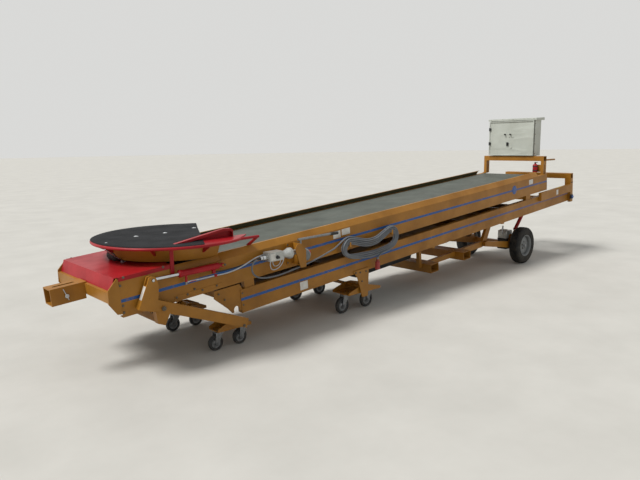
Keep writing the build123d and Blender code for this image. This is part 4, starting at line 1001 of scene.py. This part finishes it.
rearParts = {
    "redCanister": ([
        (lathe, [(0, 0), (35, 0), (40, 5), (41, 12), (41, 112), (37, 126), (26, 136), (15, 140), (15, 152), (0, 152)],
         (3386, -440, 1484), (0, 0, 1), 36),
    ], "redEnamel", "upper", "red_paint"),
    "canisterHead": ([
        (lathe, [(0, 0), (17, 0), (17, 14), (11, 20), (0, 20)], (3386, -440, 1635), (0, 0, 1), 20),
        (roundedBox, (3378, -486, 1646), (3394, -428, 1654), 3),
        *[(lathe, [(41, z), (42.6, z), (42.6, z + 16), (41, z + 16), (41, z)], (3386, -440, 0), (0, 0, 1), 36)
          for z in tankBands],
    ], "blackGrip", "upper", "black_paint"),
    "canisterBracket": ([
        (roundedBox, (3426, -521, 1490), (3431, -412, 1612), 2),
    ], "ochreEnamel", "upper", "ochre_paint"),
    "yellowPlateBlank": ([
        (rampBox, 6700, 6900, -634, -598, 299.6, 301.4, 0.6),
    ], "yellowLabel", "chassis", "ochre_paint"),
    "rearSocketBox": ([
        (roundedBox, (4330, -650, 968), (4440, -640, 1050), 3),
        (roundedBox, (4352, -662, 985), (4420, -650, 1030), 4),
    ], "blackEnamel", "chassis", "black_paint"),
    "rearSocketLid": ([
        (lathe, [(0, -2), (24, -2), (27, 1), (27, 12), (24, 16), (0, 17)], (4386, -660, 1007), (0, -1, 0), 28),
    ], "blueLabel", "chassis", "ochre_paint"),
}
driveParts = {
    "driveSump": ([
        (roundedBox, (2683, -352, 236), (2869, -184, 405), 10),
        (roundedBox, (2680, -355, 398), (2871, -181, 412), 6),
    ], "blackEnamel", "axle", "grey_paint"),
    "driveCover": ([
        (roundedBox, (2686, -349, 411), (2868, -187, 542), 9),
        (roundedBox, (2700, -300, 540), (2800, -210, 556), 6),
        (lathe, [(0, 0), (30, 0), (34, 4), (34, 22), (28, 26), (0, 27)], (2686, -300, 480), (-1, 0, 0), 32),
    ], "castAlloy", "axle", "grey_paint"),
    "drivePipe": ([
        (pipe, [(2740, -250, 552), (2738, -252, 582), (2722, -262, 612), (2694, -275, 622), (2668, -282, 610),
                (2655, -286, 575), (2652, -288, 530), (2664, -289, 496), (2686, -290, 490)], 60, 7.0),
    ], "steelLine", "axle", "grey_paint"),
}


bellowsForm = {"swell": 62, "limit": 50, "ring": 0.035, "halfRings": 12, "length": 236, "points": 41}


def bellows(middle, direction):
    # an oval rubber bellows: its radius is the root of its length's sine, held to a limit, with shallow rings
    t = np.linspace(0, 1, bellowsForm["points"])
    radius = np.clip(bellowsForm["swell"] * np.sqrt(np.sin(t * pi)), 0, bellowsForm["limit"])
    radius *= 1 + bellowsForm["ring"] * np.cos(t * pi * bellowsForm["halfRings"])
    radius[[0, -1]] = 0
    height = (t - 0.5) * bellowsForm["length"]
    return lathe(np.stack([radius, height], 1), middle, direction, 36)


def rod(start, end, radius):  # a rod with its rims eased by half a millimetre
    start, end = np.array(start), np.array(end)
    length = np.linalg.norm(end - start)
    profile = [(0, 0), (radius - 0.5, 0), (radius, 1), (radius, length - 1), (radius - 0.5, length), (0, length)]
    return lathe(profile, start, end - start, 14)


bufferParts = {
    "rubberBuffer": ([
        (bellows, (-3790, 90, 1006), (0.05, 1, -0.06)),
    ], "castorRubber", "upper", "mat_rubber"),
    "tableTie": ([
        *[(rod, (-3974.0, y - 147.0, 1117.0), (-3776.0, y - 74.0, 967.0), 5) for y in (-9.0, 9.0)],
        (roundedBox, (-3796, -92, 962), (-3758, -56, 969), 2),
    ], "steelLine", "upper", "zinc_steel"),
}

ground = {"centre": (1500, 0, 0), "from": 2.0, "to": 120.0, "rings": 14, "steps": 64}  # its radii in metres


def makeFloor():
    # a pale floor disc far wider than the object, its rim lost in the pale background
    rings = np.concatenate([[0.01], np.geomspace(ground["from"], ground["to"], ground["rings"])]) * 1000
    points, faces = lathe([(radius, 0.0) for radius in rings], ground["centre"], (0, 0, 1), ground["steps"])
    mesh = bpy.data.meshes.new("floor")
    mesh.from_pydata((points / 1000).tolist(), [], faces.tolist() + [list(range(ground["steps"]))])
    mesh.materials.append(look("floorConcrete"))
    floor = bpy.data.objects.new("floor", mesh)
    bpy.context.scene.collection.objects.link(floor)


makeCamera()
makeLight()
dressNodes()
print("nodes dressed")
makeCords()
print("cords laid")
makeTableMat()
makeBolts()
makeStripsAndLabels()
print("mat, bolts and labels placed")
for side, sign in sides:
    makeTyre(side, sign)
makeCastorParts()
print("wheels dressed")
makeCylinderParts()
makeParts(pumpParts)
makeParts(towParts)
print("hydraulics and tow pin dressed")
makeDeckSheet()
makeSideClosures()
for parts in (cabinetParts, rearParts, driveParts, bufferParts):
    makeParts(parts)
print("deck, cabinet, tail, drive and buffer dressed")
makeFloor()
